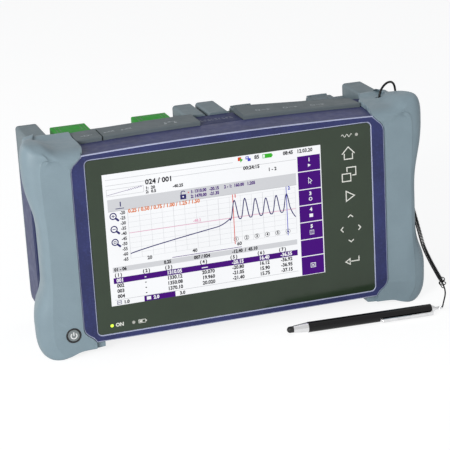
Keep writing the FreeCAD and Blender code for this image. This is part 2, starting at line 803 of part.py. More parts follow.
def flaps():
    """Rubber flaps over the top connectors, each with a fixed strip along its rear edge."""
    start = seam_y + S.rest_gap
    stop = back_y - S.strip_depth - S.rest_gap
    spans = {
        "power_flap": (S.power_flap_x, S.data_flap_x - S.flap_seam, False),
        "data_flap": (S.data_flap_x, S.data_flap_end, False),
        "fibre_flap": (S.fibre_flap_x, S.fibre_flap_end, True),
    }
    strips = []
    for label, (left, right, wedge) in spans.items():
        flap = Piece(label)
        strip = Piece(f"{label}_strip")
        low = S.flap_floor + S.rest_gap
        if wedge:
            outline = [(left, low), (right, low), (right, flap_crown.height(right)),
                       (left, flap_crown.height(left))]
            rear = [(left, low), (right, low), (right, S.fibre_flap_low),
                    (left, S.fibre_flap_high)]
            near = flap.sketch("XZ", start, [outline])
            far = flap.sketch("XZ", stop, [rear])
            loft = flap.body.newObject("PartDesign::AdditiveLoft", f"{label}_loft")
            loft.Profile = near
            loft.Sections = [far]
            loft.Ruled = True
            doc.recompute()
            flat = [(left, S.flap_floor), (right, S.flap_floor), (right, S.fibre_flap_low),
                    (left, S.fibre_flap_high)]
            strip.pad("XZ", stop + S.rest_gap, S.strip_depth, [flat])
        else:
            flap.pad("XZ", start, stop - start, [crowned(left, low, right, flap_crown)])
            strip.pad("XZ", stop + S.rest_gap, S.strip_depth,
                      [crowned(left, S.flap_floor, right, flap_crown)])
        rim = S.flap_rim
        flap.pocket("XY", low - 1, S.flap_recess + 1,
                    [rect(left + rim, start + rim, right - rim, stop - rim)])
        flap.fillet(0.9, lambda e: abs(middle(e).y - start.value) < 0.01
                    and middle(e).z > low.value + 1.5 and abs(e.tangentAt(e.FirstParameter).x) > 0.9)
        NODES[label] = flap.body
        strips.append(strip.body)
    node("flap_hinge_strips", *strips)


flaps()


# ---------------------------------------------------------------- carrier and plug-in modules

def carrier():
    """The plate and shelf on the back of the unit that hold the two test modules."""
    tray = Piece("module_carrier")
    low = floor_z + S.fit_gap
    tray.pad("XZ", plate_y, S.shelf_thick,
             [rect(-(inner_x - S.fit_gap), low, inner_x - S.fit_gap, roof_z - S.fit_gap)])
    half = S.module_gap / 2 + S.module_width - 0.4
    tray.pad("XZ", back_y, S.plate_step,
             [rect(-half, S.case_bottom + 4, half, S.module_top - 1)])
    shelf = half - 2.6
    tray.pad("XY", S.case_bottom, S.shelf_thick,
             [rect(-shelf, back_y, shelf, module_back - 1)])
    rib = S.module_gap / 2 - 0.3
    tray.pad("XZ", step_y - 0.2, 12, [rect(-rib, S.case_bottom + 1, rib, S.module_top - 1)])
    for side in (-1, 1):
        centre = side * (S.module_gap + S.module_width) / 2
        tray.pocket("XZ", plate_y - 1, S.shelf_thick + S.plate_step + 2,
                    [rect(centre - 31, 29, centre + 31, 43)])
        for x in module_screws(side):
            tray.pocket("XZ", plate_y - 1, S.shelf_thick + S.plate_step + 2,
                        [Circle(x, screw_z, S.thumb_shank + S.pin_clearance)])
        # lugs that carry the tilt bail; the unit rests on them at the back
        inner = S.bail_x + S.bail_wire + 1.0
        low, high = (inner, inner + 5.5) if side > 0 else (-inner - 5.5, -inner)
        eye = S.bail_wire + 1.2
        lug = (S.front_y + S.bail_pivot)
        tray.pad("YZ", low, high - low, [rect(lug - eye, 0, lug + eye, S.case_bottom + 1)])
        tray.pocket("YZ", low - 1, high - low + 2,
                    [Circle(lug, S.bail_z, S.bail_wire + S.pin_clearance)])
    NODES["module_carrier"] = tray.body
    board = block(-110, plate_y - S.board_thick, 26, 110, plate_y, 50)
    plugs = []
    for side in (-1, 1):
        centre = side * (S.module_gap + S.module_width) / 2
        plugs.append(block(centre - 30, plate_y, 30, centre + 30, module_y + 5, 42))
    node("backplane_board", join(board, *plugs))


screw_z = as_size(72)


def module_screws(side):
    """Distances across the unit of a module's two captive screws."""
    inner = S.module_gap / 2 + 8.6
    outer = S.module_gap / 2 + S.module_width - 8.6
    return (side * inner, side * outer)


def port_places(side):
    """Middles of a module's two fibre ports."""
    return (side * (S.module_gap / 2 + 33.3), side * (S.module_gap / 2 + 91.3))


def module_loop(side, shrink=0):
    """The outline of a module from behind: two ears and a rounded lower corner."""
    inner = S.module_gap / 2 + shrink
    outer = S.module_gap / 2 + S.module_width - shrink
    low = S.case_bottom + S.shelf_thick + 0.2 + shrink
    points = [(inner, low), (outer - 5.5, low), (outer - 2.4, low + 2.2),
              (outer - 0.6, low + 6.0), (outer, low + 11.0), (outer, S.ear_top),
              (outer - S.ear_outer, S.ear_top), (outer - S.ear_outer, S.module_top),
              (inner + S.ear_inner, S.module_top), (inner + S.ear_inner, S.ear_top),
              (inner, S.ear_top)]
    return [(side * x, z) for x, z in points]


hinge_y = S.front_y + S.cap_front + S.cap_depth + 2.6
hinge_z = S.module_top + 2.2
post_x = as_size(5.4)
post_width = 2.0


def module(side, name):
    """A plug-in test module: case, rear cover, optics, port adapters and captive screws."""
    cover_y = module_back - S.cover_thick
    port_y = PORTS[name]["y"]
    case = Piece(f"{name}_module_case")
    case.pad("XZ", module_y, cover_y - module_y, [module_loop(side)])
    inner = S.module_gap / 2
    outer = inner + S.module_width
    ears = [rect(*sorted_pair(side, inner, inner + S.ear_inner, S.module_top - 0.4, S.ear_top)),
            rect(*sorted_pair(side, outer - S.ear_outer, outer, S.module_top - 0.4, S.ear_top))]
    case.pad("XZ", back_y + 0.2, module_y - back_y, ears)
    wall = S.module_wall
    low = S.case_bottom + S.shelf_thick + 0.2 + wall + 1.6
    case.pocket("XZ", module_y + wall, S.module_depth,
                [rect(*sorted_pair(side, inner + wall, outer - wall, low, S.module_top - wall))])
    centre = side * (S.module_gap + S.module_width) / 2
    case.pocket("XZ", module_y - 1, wall + 2, [rect(centre - 31, 29, centre + 31, 43)])
    for x in module_screws(side):
        case.pocket("XZ", module_y - 1, wall + 2, [Circle(x, screw_z, S.thumb_shank + 0.2)])
    half_x = S.adapter_width / 2 + S.fit_gap
    half_y = S.adapter_depth / 2 + S.fit_gap
    for x in port_places(side):
        case.pocket("XY", S.module_top - wall - 1, wall + 3,
                    [rect(x - half_x, port_y - half_y, x + half_x, port_y + half_y)])
    case.fillet(2.2, lambda e: along(e, AXIS["Y"]) and middle(e).z > S.ear_top.value - 0.01)
    NODES[case.label] = case.body

    cover = Piece(f"{name}_module_cover")
    cover.pad("XZ", cover_y, S.cover_thick, [module_loop(side)])
    cover.fillet(2.2, lambda e: along(e, AXIS["Y"]) and middle(e).z > S.ear_top.value - 0.01)
    cover.chamfer(1.2, lambda e: abs(middle(e).y - module_back.value) < 0.01
                  and middle(e).z > S.ear_top.value - 2.3)
    for x in module_screws(side):
        cover.pad("XZ", cover_y - 4, 4.2, [Circle(x, screw_z, S.thumb_radius + 1.8)])
        cover.pocket("XZ", module_back - S.thumb_length, S.thumb_length + 1,
                     [Circle(x, screw_z, S.thumb_radius + 0.4)])
        cover.pocket("XZ", cover_y - 6, S.cover_thick + 6, [Circle(x, screw_z,
                                                                  S.thumb_shank + 0.2)])
    for x in port_places(side):
        for step in (-1, 1):
            near = x + step * post_x
            far = near + step * post_width
            left, right = (near, far) if step > 0 else (far, near)
            reach = module_back - hinge_y - 0.1
            cover.pad("YZ", left, right - left,
                      [rect(cover_y, S.module_top - 0.3, hinge_y + reach, hinge_z)])
            cover.pad("YZ", left, right - left, [Circle(hinge_y, hinge_z, reach - 0.1)])
            cover.pocket("YZ", left - 0.1, right - left + 0.2,
                         [Circle(hinge_y, hinge_z, S.cap_pin_radius)])
    NODES[cover.label] = cover.body

    # optical block on the front wall, with its circuit board
    near = module_y + wall
    x0, x1 = sorted_values(side * (inner + 22), side * (outer - 22))
    optics = join(block(x0 + 4, near, 50, x1 - 30, near + 16, 112),
                  block(x0, near + 14, 20, x1, near + 15.6, 118),
                  block(x1 - 26, near + 4, 60, x1 - 4, near + 14.2, 100))
    node(f"{name}_module_optics", optics)

    rise = PORTS[name]["rise"]
    adapters = []
    for x in port_places(side):
        half_x = S.adapter_width / 2
        half_y = S.adapter_depth / 2
        top = S.module_top + rise
        body = join(block(x - half_x, port_y - half_y, S.module_top - 13,
                          x + half_x, port_y + half_y, top),
                    block(x - half_x - 1, port_y - half_y - 1, S.module_top,
                          x + half_x + 1, port_y + half_y + 1, S.module_top + 1.3))
        body = less(body, block(x - 4.6, port_y - 3.7, top - 11, x + 4.6, port_y + 3.7, top + 1))
        adapters.append(join(body, rod("Z", x, port_y, top - 11.5, 1.25, 5)))
    node(f"{name}_port_adapters", *adapters)

    for x, spot in zip(module_screws(side), ("inner", "outer")):
        seat = module_back - S.thumb_length
        head = rod("Y", x, seat + S.rest_gap, screw_z, S.thumb_radius, S.thumb_length - 0.5)
        shank = rod("Y", x, plate_y + 0.4, screw_z, S.thumb_shank, seat - plate_y)
        slot = block(x - 6, module_back - 1.4, screw_z - 0.6, x + 6, module_back + 1, screw_z + 0.6)
        node(f"{name}_module_screw_{spot}", less(join(head, shank), slot))


def sorted_values(a, b):
    return (a, b) if a.value < b.value else (b, a)


def sorted_pair(side, x0, x1, z0, z1):
    """Corners of a rectangle on one side of the unit."""
    low, high = sorted_values(side * x0, side * x1)
    return low, z0, high, z1


cap_back = S.front_y + S.cap_front + S.cap_depth
PORTS = {
    "left": {"y": cap_back - S.cap_depth / 2, "rise": 3.4},
    "right": {"y": cap_back - S.low_cap_depth / 2, "rise": 1.3},
}


def port_cap(label, x, width, depth, height):
    """A hinged cap over a fibre port: a shallow box open below, with a knuckle at its back."""
    back = cap_back
    low = S.module_top + S.rest_gap
    cap = Piece(label)
    half = width / 2
    cap.pad("XY", low, height, [rect(x - half, back - depth, x + half, back)])
    cap.fillet(0.8, lambda e: middle(e).z > (low + height).value - 0.01 or along(e, AXIS["Z"]))
    wall = S.cap_wall
    cap.pocket("XY", low - 1, height - wall + 1,
               [rect(x - half + wall, back - depth + wall, x + half - wall, back - wall)])
    knuckle = as_size(1.7)
    reach = post_x - 0.35
    cap.pad("YZ", x - reach, reach * 2,
            [rect(back - 0.5, hinge_z - 1.1, hinge_y, hinge_z + 1.1)])
    cap.pad("YZ", x - reach, reach * 2, [Circle(hinge_y, hinge_z, knuckle)])
    cap.pocket("YZ", x - reach - 1, reach * 2 + 2,
               [Circle(hinge_y, hinge_z, S.cap_pin_radius + S.pin_clearance)])
    NODES[label] = cap.body


def caps():
    pins = []
    for side, name in ((-1, "left"), (1, "right")):
        for x, spot in zip(port_places(side), ("inner", "outer")):
            if name == "left":
                port_cap(f"{name}_port_cap_{spot}", x, S.cap_width, S.cap_depth, S.cap_height)
            else:
                port_cap(f"{name}_port_cap_{spot}", x, S.low_cap_width, S.low_cap_depth,
                         S.low_cap_height)
            length = (post_x + post_width) * 2
            pins.append(rod("X", x - length / 2, hinge_y, hinge_z, S.cap_pin_radius, length))
    node("port_cap_pins", *pins)


carrier()
module(-1, "left")
module(1, "right")
caps()


# ---------------------------------------------------------------- bumpers

# Behind the bumper's front face: how far each outline is drawn in from the full one.
# depth, side inset, lobe flare, horn height, top inset, bottom rise (shares or millimetres)
BUMPER_STATIONS = (
    (0, 5.0, 0.25, 0.25, 5.0, 2.4),
    (1.2, 2.5, 0.45, 0.45, 3.2, 1.3),
    (3.2, 1.0, 0.72, 0.68, 1.7, 0.5),
    (7, 0.2, 0.93, 0.90, 0.4, 0.1),
    (13, 0.2, 1.00, 1.00, 0.0, 0.0),
    (21, 1.0, 0.92, 0.92, 0.0, 0.0),
    (30, 2.1, 0.76, 0.66, 0.0, 0.0),
    (41, 3.2, 0.46, 0.30, 0.0, 0.0),
    (52, 4.2, 0.14, 0.03, 0.0, 0.1),
    (64, 6.0, 0.00, 0.00, 0.0, 0.8),
)


def bumper_outline(inset, flare, horn, top_inset, rise):
    """The outer edge of a bumper in one cross-section, from its top strap to its underside."""
    waist = S.waist_x.value - inset
    side = flare * (S.lobe_x - S.waist_x).value
    lobe = waist + side
    top = S.strap_top.value - top_inset
    horn = horn * S.horn_rise.value
    start = 95
    reach = lobe - start
    return [
        (start, top), (104, top), (112, top + 0.02 * horn), (119, top + 0.22 * horn),
        (125.5, top + 0.82 * horn), (lobe - 8, top + 0.99 * horn), (lobe - 3.4, top + 0.95 * horn),
        (lobe - 0.7, top - 3.2 + 0.7 * horn), (lobe, top - 7.5), (lobe - 0.02 * side, top - 15),
        (lobe - 0.27 * side, top - 28), (waist + 0.12 * side, top - 46), (waist, top - 64),
        (waist, 60), (waist + 0.1 * side, 50), (waist + 0.55 * side, 40),
        (waist + 0.95 * side, 31), (lobe, 20), (lobe - 0.8, 10 + 0.4 * rise),
        (lobe - 4.2, 2.4 + rise), (start + 0.81 * reach, rise - 0.7),
        (start + 0.68 * reach, rise - 0.4), (start + 0.55 * reach, 1.7 + 0.8 * rise),
        (start + 0.30 * reach, 3.2 + 0.6 * rise), (start, 4.0 + 0.5 * rise),
    ]


def bumper_blank():
    """The full outer form of the right-hand bumper, before the case is taken out of it."""
    sections = []
    front = (S.front_y - S.bumper_proud).value
    for depth, *shares in BUMPER_STATIONS:
        points = [Vec(x, front + depth, z) for x, z in bumper_outline(*shares)]
        curve = Part.BSplineCurve()
        curve.interpolate(points)
        closing = Part.LineSegment(points[-1], points[0])
        sections.append(Part.Wire([curve.toShape(), closing.toShape()]))
    return Part.makeLoft(sections, True, False)


def case_solid(grow, y0, y1):
    """The outside of the case, grown all round."""
    half = case_x.value + grow
    low = S.case_bottom.value - grow
    radius = S.crown_radius.value + grow
    top = S.case_top.value + grow
    box = Part.makeBox(2 * half, y1 - y0, top + 10 - low, Vec(-half, y0, low))
    drum = Part.makeCylinder(radius, y1 - y0, Vec(0, y0, top - radius), Vec(0, 1, 0))
    solid = box.common(drum)
    corners = [e for e in solid.Edges if along(e, AXIS["Y"])]
    return solid.makeFillet(S.case_corner.value + grow, corners)


def prism(points, axis, length):
    """An extruded polygon."""
    wire = Part.makePolygon(points + points[:1])
    return Part.Face(wire).extrude(AXIS[axis] * length)


def lip_window():
    """The space in front of the case, inside the right-hand lip's edge."""
    y = (S.front_y - S.bumper_proud).value - 3
    edge = [Vec(x.value, y, z.value) for x, z in lip_edge(as_size(0))]
    reach = Vec(0, 0, 40)
    points = [edge[0] - reach] + edge + [edge[-1] + reach]
    points = [Vec(0, y, points[0].z)] + points + [Vec(0, y, points[-1].z)]
    return prism(points, "Y", 3 + (S.bumper_proud + S.lip_rebate).value)


def strap_window(side):
    """The top of the case that the strap leaves free, for the flaps and the module ears."""
    front = S.front_y.value
    tip = S.lip_tip_x.value
    if side < 0:
        flap = -S.power_flap_x.value + 0.9
        edge = [(tip, -8), (tip, 0), (tip - 1.4, 4), (flap, 11), (flap, 70)]
    else:
        flap = S.fibre_flap_end.value + 0.9
        edge = [(tip, -8), (tip, 1), (tip + 2, 13), (flap, 25), (flap, 33), (flap + 3.6, 40),
                (flap + 7, 48), (flap + 7, 70)]
    z = S.case_bottom.value + 100
    points = [Vec(x, front + y, z) for x, y in [(0, edge[0][1])] + edge + [(0, edge[-1][1])]]
    return prism(points, "Z", 60)


def side_window():
    """What the bumper leaves open behind its waist: the grip recess."""
    front = S.front_y.value
    waist = front + S.waist_back.value
    top = S.strap_top.value
    points = [(front + 50.4, top + 30), (front + 50.4, top - 22), (front + 47, top - 29.5),
              (front + 39, top - 34.5), (waist + 6, top - 39), (waist + 1.6, top - 48),
              (waist, top - 62), (waist - 0.4, top - 76), (waist + 0.2, 54), (waist + 2.4, 44),
              (front + 31, 37), (front + 42, 31), (front + 54, 26), (front + 90, 16)]
    spline = Part.BSplineCurve()
    spline.interpolate([Vec(case_x.value - 4, y, z) for y, z in points[1:]])
    x = case_x.value - 4
    start = Vec(x, *points[0])
    ends = [Vec(x, *points[1]), Vec(x, *points[-1])]
    far = Vec(x, points[-1][0], top + 30)
    edges = [Part.LineSegment(start, ends[0]).toShape(), spline.toShape(),
             Part.LineSegment(ends[1], far).toShape(), Part.LineSegment(far, start).toShape()]
    return Part.Face(Part.Wire(edges)).extrude(Vec(40, 0, 0))


def bumpers():
    """Two soft bumpers pulled over the ends of the case."""
    gap = S.fit_gap.value
    lip_y = (S.front_y + S.lip_rebate).value
    back = back_y.value
    module_x = (S.module_gap / 2 + S.module_width).value + 0.2
    front = S.front_y.value - 20
    body = bumper_blank()
    body = body.cut(case_solid(gap, lip_y, back + 0.05))
    low = S.case_bottom.value - 0.2
    body = body.cut(Part.makeBox(module_x, 60, 200, Vec(0, back, low)))
    body = body.cut(lip_window())
    body = body.cut(side_window())
    end = (S.front_y + S.lobe_back).value
    body = body.cut(Part.makeBox(60, 40, 200, Vec(90, end, -5)))
    # the lobes stand on flat feet
    body = body.cut(Part.makeBox(90, 140, 20, Vec(80, front, -20)))
    for side, name in ((-1, "left"), (1, "right")):
        shape = body.cut(strap_window(side))
        for y in (seam_y.value - 8, seam_y.value + 12):
            shape = shape.cut(Part.makeCylinder(1.7, 40, Vec(115, y, -10)))
            shape = shape.cut(Part.makeCylinder(3.4, 15.6, Vec(115, y, -10)))
        if side < 0:
            shape = shape.mirror(Vec(), Vec(1, 0, 0))
            spot = Vec(S.button_x.value, S.front_y.value - 5, S.button_z.value)
            shape = shape.cut(Part.makeCylinder(S.ring_radius.value + gap, 12, spot, AXIS["Y"]))
        else:
            # slot behind the horn for the stylus tether
            shape = shape.cut(Part.makeCylinder(2.3, 60, Vec(*TETHER_SLOT, 100)))
        biggest = max(shape.Solids, key=lambda solid: solid.Volume)
        made(f"{name}_bumper", biggest)
    screws = []
    for x in (-115, 115):
        for y in (seam_y - 8, seam_y + 12):
            screws.append(join(rod("Z", x, y, 3.7, 3.0, 1.8),
                               rod("Z", x, y, 5.0, 1.5, S.case_bottom - 5.05)))
    node("bumper_screws", *screws)


TETHER_SLOT = (119.6, S.front_y.value + 32.2)

bumpers()


# ---------------------------------------------------------------- power button

def power_button():
    """A round key in the left bumper, on a stem that reaches its switch."""
    x, z = S.button_x, S.button_z
    face = S.front_y - S.bumper_proud
    seat = S.front_y + S.lip_rebate
    ring = less(rod("Y", x, face - 0.2, z, S.ring_radius, seat - face + 0.1),
                rod("Y", x, face - 2, z, S.button_radius + 0.25, seat - face + 4))
    node("power_button_ring", ring)
    stop = seat - S.button_travel - S.rest_gap
    stem_end = wall_back_y + 1.2
    key = join(rod("Y", x, face - 0.2, z, S.button_radius, stop - face + 0.2),
               rod("Y", x, stop - 0.2, z, S.stem_radius, stem_end - stop + 0.2))
    node("power_button", key)
    half = 4.5
    switch = less(block(x - half + 0.8, wall_back_y, z - half + 1, x + half, wall_back_y + 4.4,
                        z + half),
                  rod("Y", x, wall_back_y - 1, z, S.stem_radius + 0.08,
                      1 + 1.2 + S.button_travel + S.rest_gap))
    node("power_switch", switch)


power_button()


# ---------------------------------------------------------------- cords and wire

def tube(points, radius):
    """A round tube along straight runs joined by tangent arcs as large as the runs allow."""
    points = [Vec(*point) for point in points]
    edges = []
    radii = []
    last = points[0]
    for before, corner, after in zip(points, points[1:], points[2:]):
        a = before - corner
        b = after - corner
        turn = math.pi - a.getAngle(b)
        bend = 0.45 * min(a.Length, b.Length) / math.tan(turn / 2)
        radii.append(round(bend / (2 * radius), 1))
        reach = 0.45 * min(a.Length, b.Length)
        start = corner + a.normalize() * reach
        stop = corner + b.normalize() * reach
        inward = (a + b).normalize()
        centre = corner + inward * (bend / math.cos(turn / 2))
        edges.append(Part.LineSegment(last, start))
        edges.append(Part.Arc(start, centre - inward * bend, stop))
        last = stop
    edges.append(Part.LineSegment(last, points[-1]))
    path = Part.Wire([edge.toShape() for edge in edges])
    first = points[1] - points[0]
    section = Part.Wire(Part.makeCircle(radius, points[0], first))
    shape = Part.BRepOffsetAPI.MakePipeShell(path)
    shape.setFrenetMode(False)
    shape.add(section)
    shape.build()
    shape.makeSolid()
    solid = shape.shape()
    share = solid.Volume / (math.pi * radius ** 2 * path.Length)
    print(f"tube: length {path.Length:.1f}, radii in diameters {radii}, volume {share:.4f}")
    return solid


def tilt_bail():
    """A steel wire stand folded flat under the modules."""
    bend = S.bail_bend
    y0 = S.front_y + S.bail_front
    y1 = S.front_y + S.bail_pivot
    cross = rod("X", bend - S.bail_x, y0, S.bail_z, S.bail_wire, S.bail_x * 2 - bend * 2)
    pieces = [cross]
    for side in (-1, 1):
        x = S.bail_x * side
        pieces.append(rod("Y", x, y0 + bend, S.bail_z, S.bail_wire, y1 - y0 - bend))
        corner = doc.addObject("Part::Torus", "corner")
        bind(corner, Radius1=bend, Radius2=S.bail_wire, Angle3=90)
        place(corner, x - bend * side, y0 + bend, S.bail_z,
              FreeCAD.Rotation(Vec(0, 0, 1), 180 if side < 0 else -90))
        pieces.append(corner)
        elbow = doc.addObject("Part::Sphere", "elbow")
        bind(elbow, Radius=S.bail_wire)
        pieces.append(place(elbow, x, y1, S.bail_z))
        start = x if side > 0 else x - S.bail_pin
        pieces.append(rod("X", start, y1, S.bail_z, S.bail_wire, S.bail_pin))
    node("tilt_bail", join(*pieces))


LOOP_ROUTE = [
    (119.6, -9.8, 138.2), (119.8, -9.8, 145.6), (126.0, -8.0, 152.0), (133.5, -4.6, 151.0),
    (136.4, -1.0, 140.0), (135.8, 1.6, 124.0), (135.0, 0.6, 110.0), (134.8, -2.0, 99.5),
]
TETHER_ROUTE = [
    (134.8, -2.0, 99.5), (135.4, -15.0, 80.0), (135.5, -27.6, 65.0), (134.9, -40.2, 50.8),
    (134.9, -49.9, 37.3), (138.2, -70.5, 22.1),
]
THREAD_ROUTE = [(138.2, -70.5, 22.1), (140.6, -70.9, 14.5), (138.0, -70.6, 4.1)]


def stylus_point(distance, across=0.0, up=0.0):
    """A point on the stylus: distance along it, across it and up from its axis."""
    turn = math.radians(S.stylus_turn.value)
    x = S.stylus_x.value + distance * math.cos(turn) - across * math.sin(turn)
    y = S.stylus_y.value + distance * math.sin(turn) + across * math.cos(turn)
    return Vec(x, y, S.stylus_radius.value + up)


def stylus():
    """A stylus on the table in front of the unit, tied to it by a coiled tether."""
    radius = S.stylus_radius.value
    length = S.stylus_length.value
    axis = stylus_point(1) - stylus_point(0)
    made("stylus_barrel", Part.makeCylinder(radius, length, stylus_point(0), axis))
    made("stylus_ferrule", Part.makeCone(2.4, radius - 0.15, 10.3, stylus_point(-10.3), axis))
    made("stylus_tip", Part.makeCylinder(2.2, 2.25, stylus_point(-12.55), axis).fuse(
        Part.makeSphere(2.2, stylus_point(-12.55))).removeSplitter())
    end = stylus_point(length)
    cap = Part.makeCone(radius - 0.2, 1.7, 3.0, end, axis)
    hub = Part.makeCylinder(1.0, 3.0, stylus_point(length + 2.6), axis)
    ring = Part.makeTorus(1.7, 0.55, stylus_point(length + 7.0), Vec(0, 0, 1))
    made("stylus_cap", cap.fuse([hub, ring]).removeSplitter())
    reach = radius + 2.0
    strip = Part.makeBox(36, 0.8, 2.6, Vec(length - 36, -reach - 0.4, -1.3))
    root = Part.makeBox(1.6, reach + 0.4 - radius - 0.25, 2.6, Vec(length - 1.6, -reach - 0.4, -1.3))
    ball = Part.makeSphere(1.25, Vec(length - 36.5, -reach + 0.1, 0))
    clip = strip.fuse([root, ball]).removeSplitter()
    clip.rotate(Vec(), Vec(1, 0, 0), 14)
    clip.rotate(Vec(), Vec(0, 0, 1), S.stylus_turn.value)
    clip.translate(stylus_point(0))
    made("stylus_clip", clip)


def cords():
    made("tether_loop", tube(LOOP_ROUTE, S.loop_radius.value))
    made("stylus_tether", tube(TETHER_ROUTE, S.tether_radius.value))
    made("tether_thread", tube(THREAD_ROUTE, S.thread_radius.value))


tilt_bail()
stylus()
cords()


# ---------------------------------------------------------------- writing the parts

doc.recompute()
for thing in doc.Objects:
    if "Invalid" in thing.State or "Error" in thing.State:
        raise RuntimeError(f"{thing.Label} did not build")
for label, thing in NODES.items():
    shape = thing.Shape
    if shape.isNull() or not shape.isValid():
        raise RuntimeError(f"{label} has no valid shape")
    print(label, len(shape.Solids), round(shape.Volume))
    shape.exportStep(f"parts/{label}.step")
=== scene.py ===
import math

import bmesh
import bpy
from mathutils import Matrix, Vector


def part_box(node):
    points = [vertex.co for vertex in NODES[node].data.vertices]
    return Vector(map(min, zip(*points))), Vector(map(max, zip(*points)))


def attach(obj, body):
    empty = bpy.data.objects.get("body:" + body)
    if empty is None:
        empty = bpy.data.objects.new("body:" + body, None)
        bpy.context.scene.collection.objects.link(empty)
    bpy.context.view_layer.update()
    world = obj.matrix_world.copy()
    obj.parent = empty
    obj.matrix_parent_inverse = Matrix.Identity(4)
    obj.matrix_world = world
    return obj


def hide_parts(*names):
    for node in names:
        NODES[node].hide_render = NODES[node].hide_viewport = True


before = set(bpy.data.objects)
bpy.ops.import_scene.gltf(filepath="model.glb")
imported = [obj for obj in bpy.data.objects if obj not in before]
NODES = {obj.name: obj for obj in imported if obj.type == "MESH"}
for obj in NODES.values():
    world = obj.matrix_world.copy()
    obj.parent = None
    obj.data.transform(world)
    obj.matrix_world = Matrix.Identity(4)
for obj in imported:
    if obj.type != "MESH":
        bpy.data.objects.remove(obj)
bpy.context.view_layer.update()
MM = 0.001
COLLECTION = bpy.context.scene.collection


# ---------------------------------------------------------------- camera, light and floor

def camera():
    data = bpy.data.cameras.new("camera")
    data.lens = 142.0
    data.sensor_width = 36
    data.clip_start = 0.05
    eye = bpy.data.objects.new("camera", data)
    COLLECTION.objects.link(eye)
    right = Vector((0.95075, -0.30507, -0.05480))
    up = Vector((0.14370, 0.27716, 0.95002))
    back = right.cross(up)
    turn = Matrix((right, up, back)).transposed().to_4x4()
    eye.matrix_world = Matrix.Translation((-0.33524, -1.13015, 0.44434)) @ turn
    bpy.context.scene.camera = eye


def seen_directly(tree):
    """1 for rays from the camera and for those that a glossy or clear surface sends on."""
    rays = tree.nodes.new("ShaderNodeLightPath")
    seen = rays.outputs["Is Camera Ray"]
    for kind in ("Is Glossy Ray", "Is Transmission Ray"):
        either = tree.nodes.new("ShaderNodeMath")
        either.operation = "MAXIMUM"
        tree.links.new(seen, either.inputs[0])
        tree.links.new(rays.outputs[kind], either.inputs[1])
        seen = either.outputs[0]
    return seen


def lamp(name, place, aim, size, power):
    data = bpy.data.lights.new(name, "AREA")
    data.shape = "RECTANGLE"
    data.size, data.size_y = size
    data.energy = power
    thing = bpy.data.objects.new(name, data)
    COLLECTION.objects.link(thing)
    thing.location = place
    thing.rotation_euler = (Vector(aim) - Vector(place)).to_track_quat("-Z", "Y").to_euler()


def studio():
    scene = bpy.context.scene
    scene.view_settings.view_transform = "Standard"
    lamp("key", (-1.05, -1.10, 0.60), (0, 0, 0.07), (0.6, 0.5), 18.5)
    lamp("fill", (0.95, -0.85, 0.5), (0, 0, 0.07), (0.8, 0.8), 1.3)
    lamp("top", (0.0, 0.25, 1.3), (0, 0, 0.1), (1.2, 0.8), 1.2)
    lamp("rim", (-0.9, 0.9, 0.6), (0, 0, 0.07), (0.7, 0.5), 1.8)
    world = bpy.data.worlds.new("studio")
    scene.world = world
    world.use_nodes = True
    tree = world.node_tree
    tree.nodes.clear()
    out = tree.nodes.new("ShaderNodeOutputWorld")
    soft = tree.nodes.new("ShaderNodeBackground")
    soft.inputs["Color"].default_value = (0.93, 0.96, 1.0, 1)
    soft.inputs["Strength"].default_value = 0.35
    white = tree.nodes.new("ShaderNodeBackground")
    white.inputs["Strength"].default_value = 1.0
    mix = tree.nodes.new("ShaderNodeMixShader")
    tree.links.new(seen_directly(tree), mix.inputs["Fac"])
    tree.links.new(soft.outputs[0], mix.inputs[1])
    tree.links.new(white.outputs[0], mix.inputs[2])
    tree.links.new(mix.outputs[0], out.inputs["Surface"])


def floor():
    mesh = bpy.data.meshes.new("floor")
    edge = 6.0
    mesh.from_pydata([(-edge, -edge, 0), (edge, -edge, 0), (edge, edge, 0), (-edge, edge, 0)], [],
                     [(0, 1, 2, 3)])
    ground = bpy.data.objects.new("floor", mesh)
    COLLECTION.objects.link(ground)
    ground.location.z = -0.0001
    material = bpy.data.materials.new("floor")
    material.use_nodes = True
    tree = material.node_tree
    paint = tree.nodes["Principled BSDF"]
    paint.inputs["Base Color"].default_value = (0.80, 0.80, 0.80, 1)
    paint.inputs["Roughness"].default_value = 0.9
    paint.inputs["Specular IOR Level"].default_value = 0.1
    glow = tree.nodes.new("ShaderNodeEmission")
    share = tree.nodes.new("ShaderNodeMath")
    share.operation = "MULTIPLY"
    share.inputs[1].default_value = 0.7
    glow.inputs["Strength"].default_value = 1.2
    mix = tree.nodes.new("ShaderNodeMixShader")
    tree.links.new(seen_directly(tree), share.inputs[0])
    tree.links.new(share.outputs[0], mix.inputs["Fac"])
    tree.links.new(paint.outputs[0], mix.inputs[1])
    tree.links.new(glow.outputs[0], mix.inputs[2])
    tree.links.new(mix.outputs[0], tree.nodes["Material Output"].inputs["Surface"])
    mesh.materials.append(material)


camera()
studio()
floor()


# ---------------------------------------------------------------- cords

LOOP_ROUTE = [
    (119.6, -9.8, 138.2), (119.8, -9.8, 145.6), (126.0, -8.0, 152.0), (133.5, -4.6, 151.0),
    (136.4, -1.0, 140.0), (135.8, 1.6, 124.0), (135.0, 0.6, 110.0), (134.8, -2.0, 99.5),
]
TETHER_ROUTE = [
    (134.8, -2.0, 99.5), (135.4, -15.0, 80.0), (135.5, -27.6, 65.0), (134.9, -40.2, 50.8),
    (134.9, -49.9, 37.3), (138.2, -70.5, 22.1),
]
COIL_PITCH = 1.12
COIL_RADIUS = 1.18
STRAND = 0.8


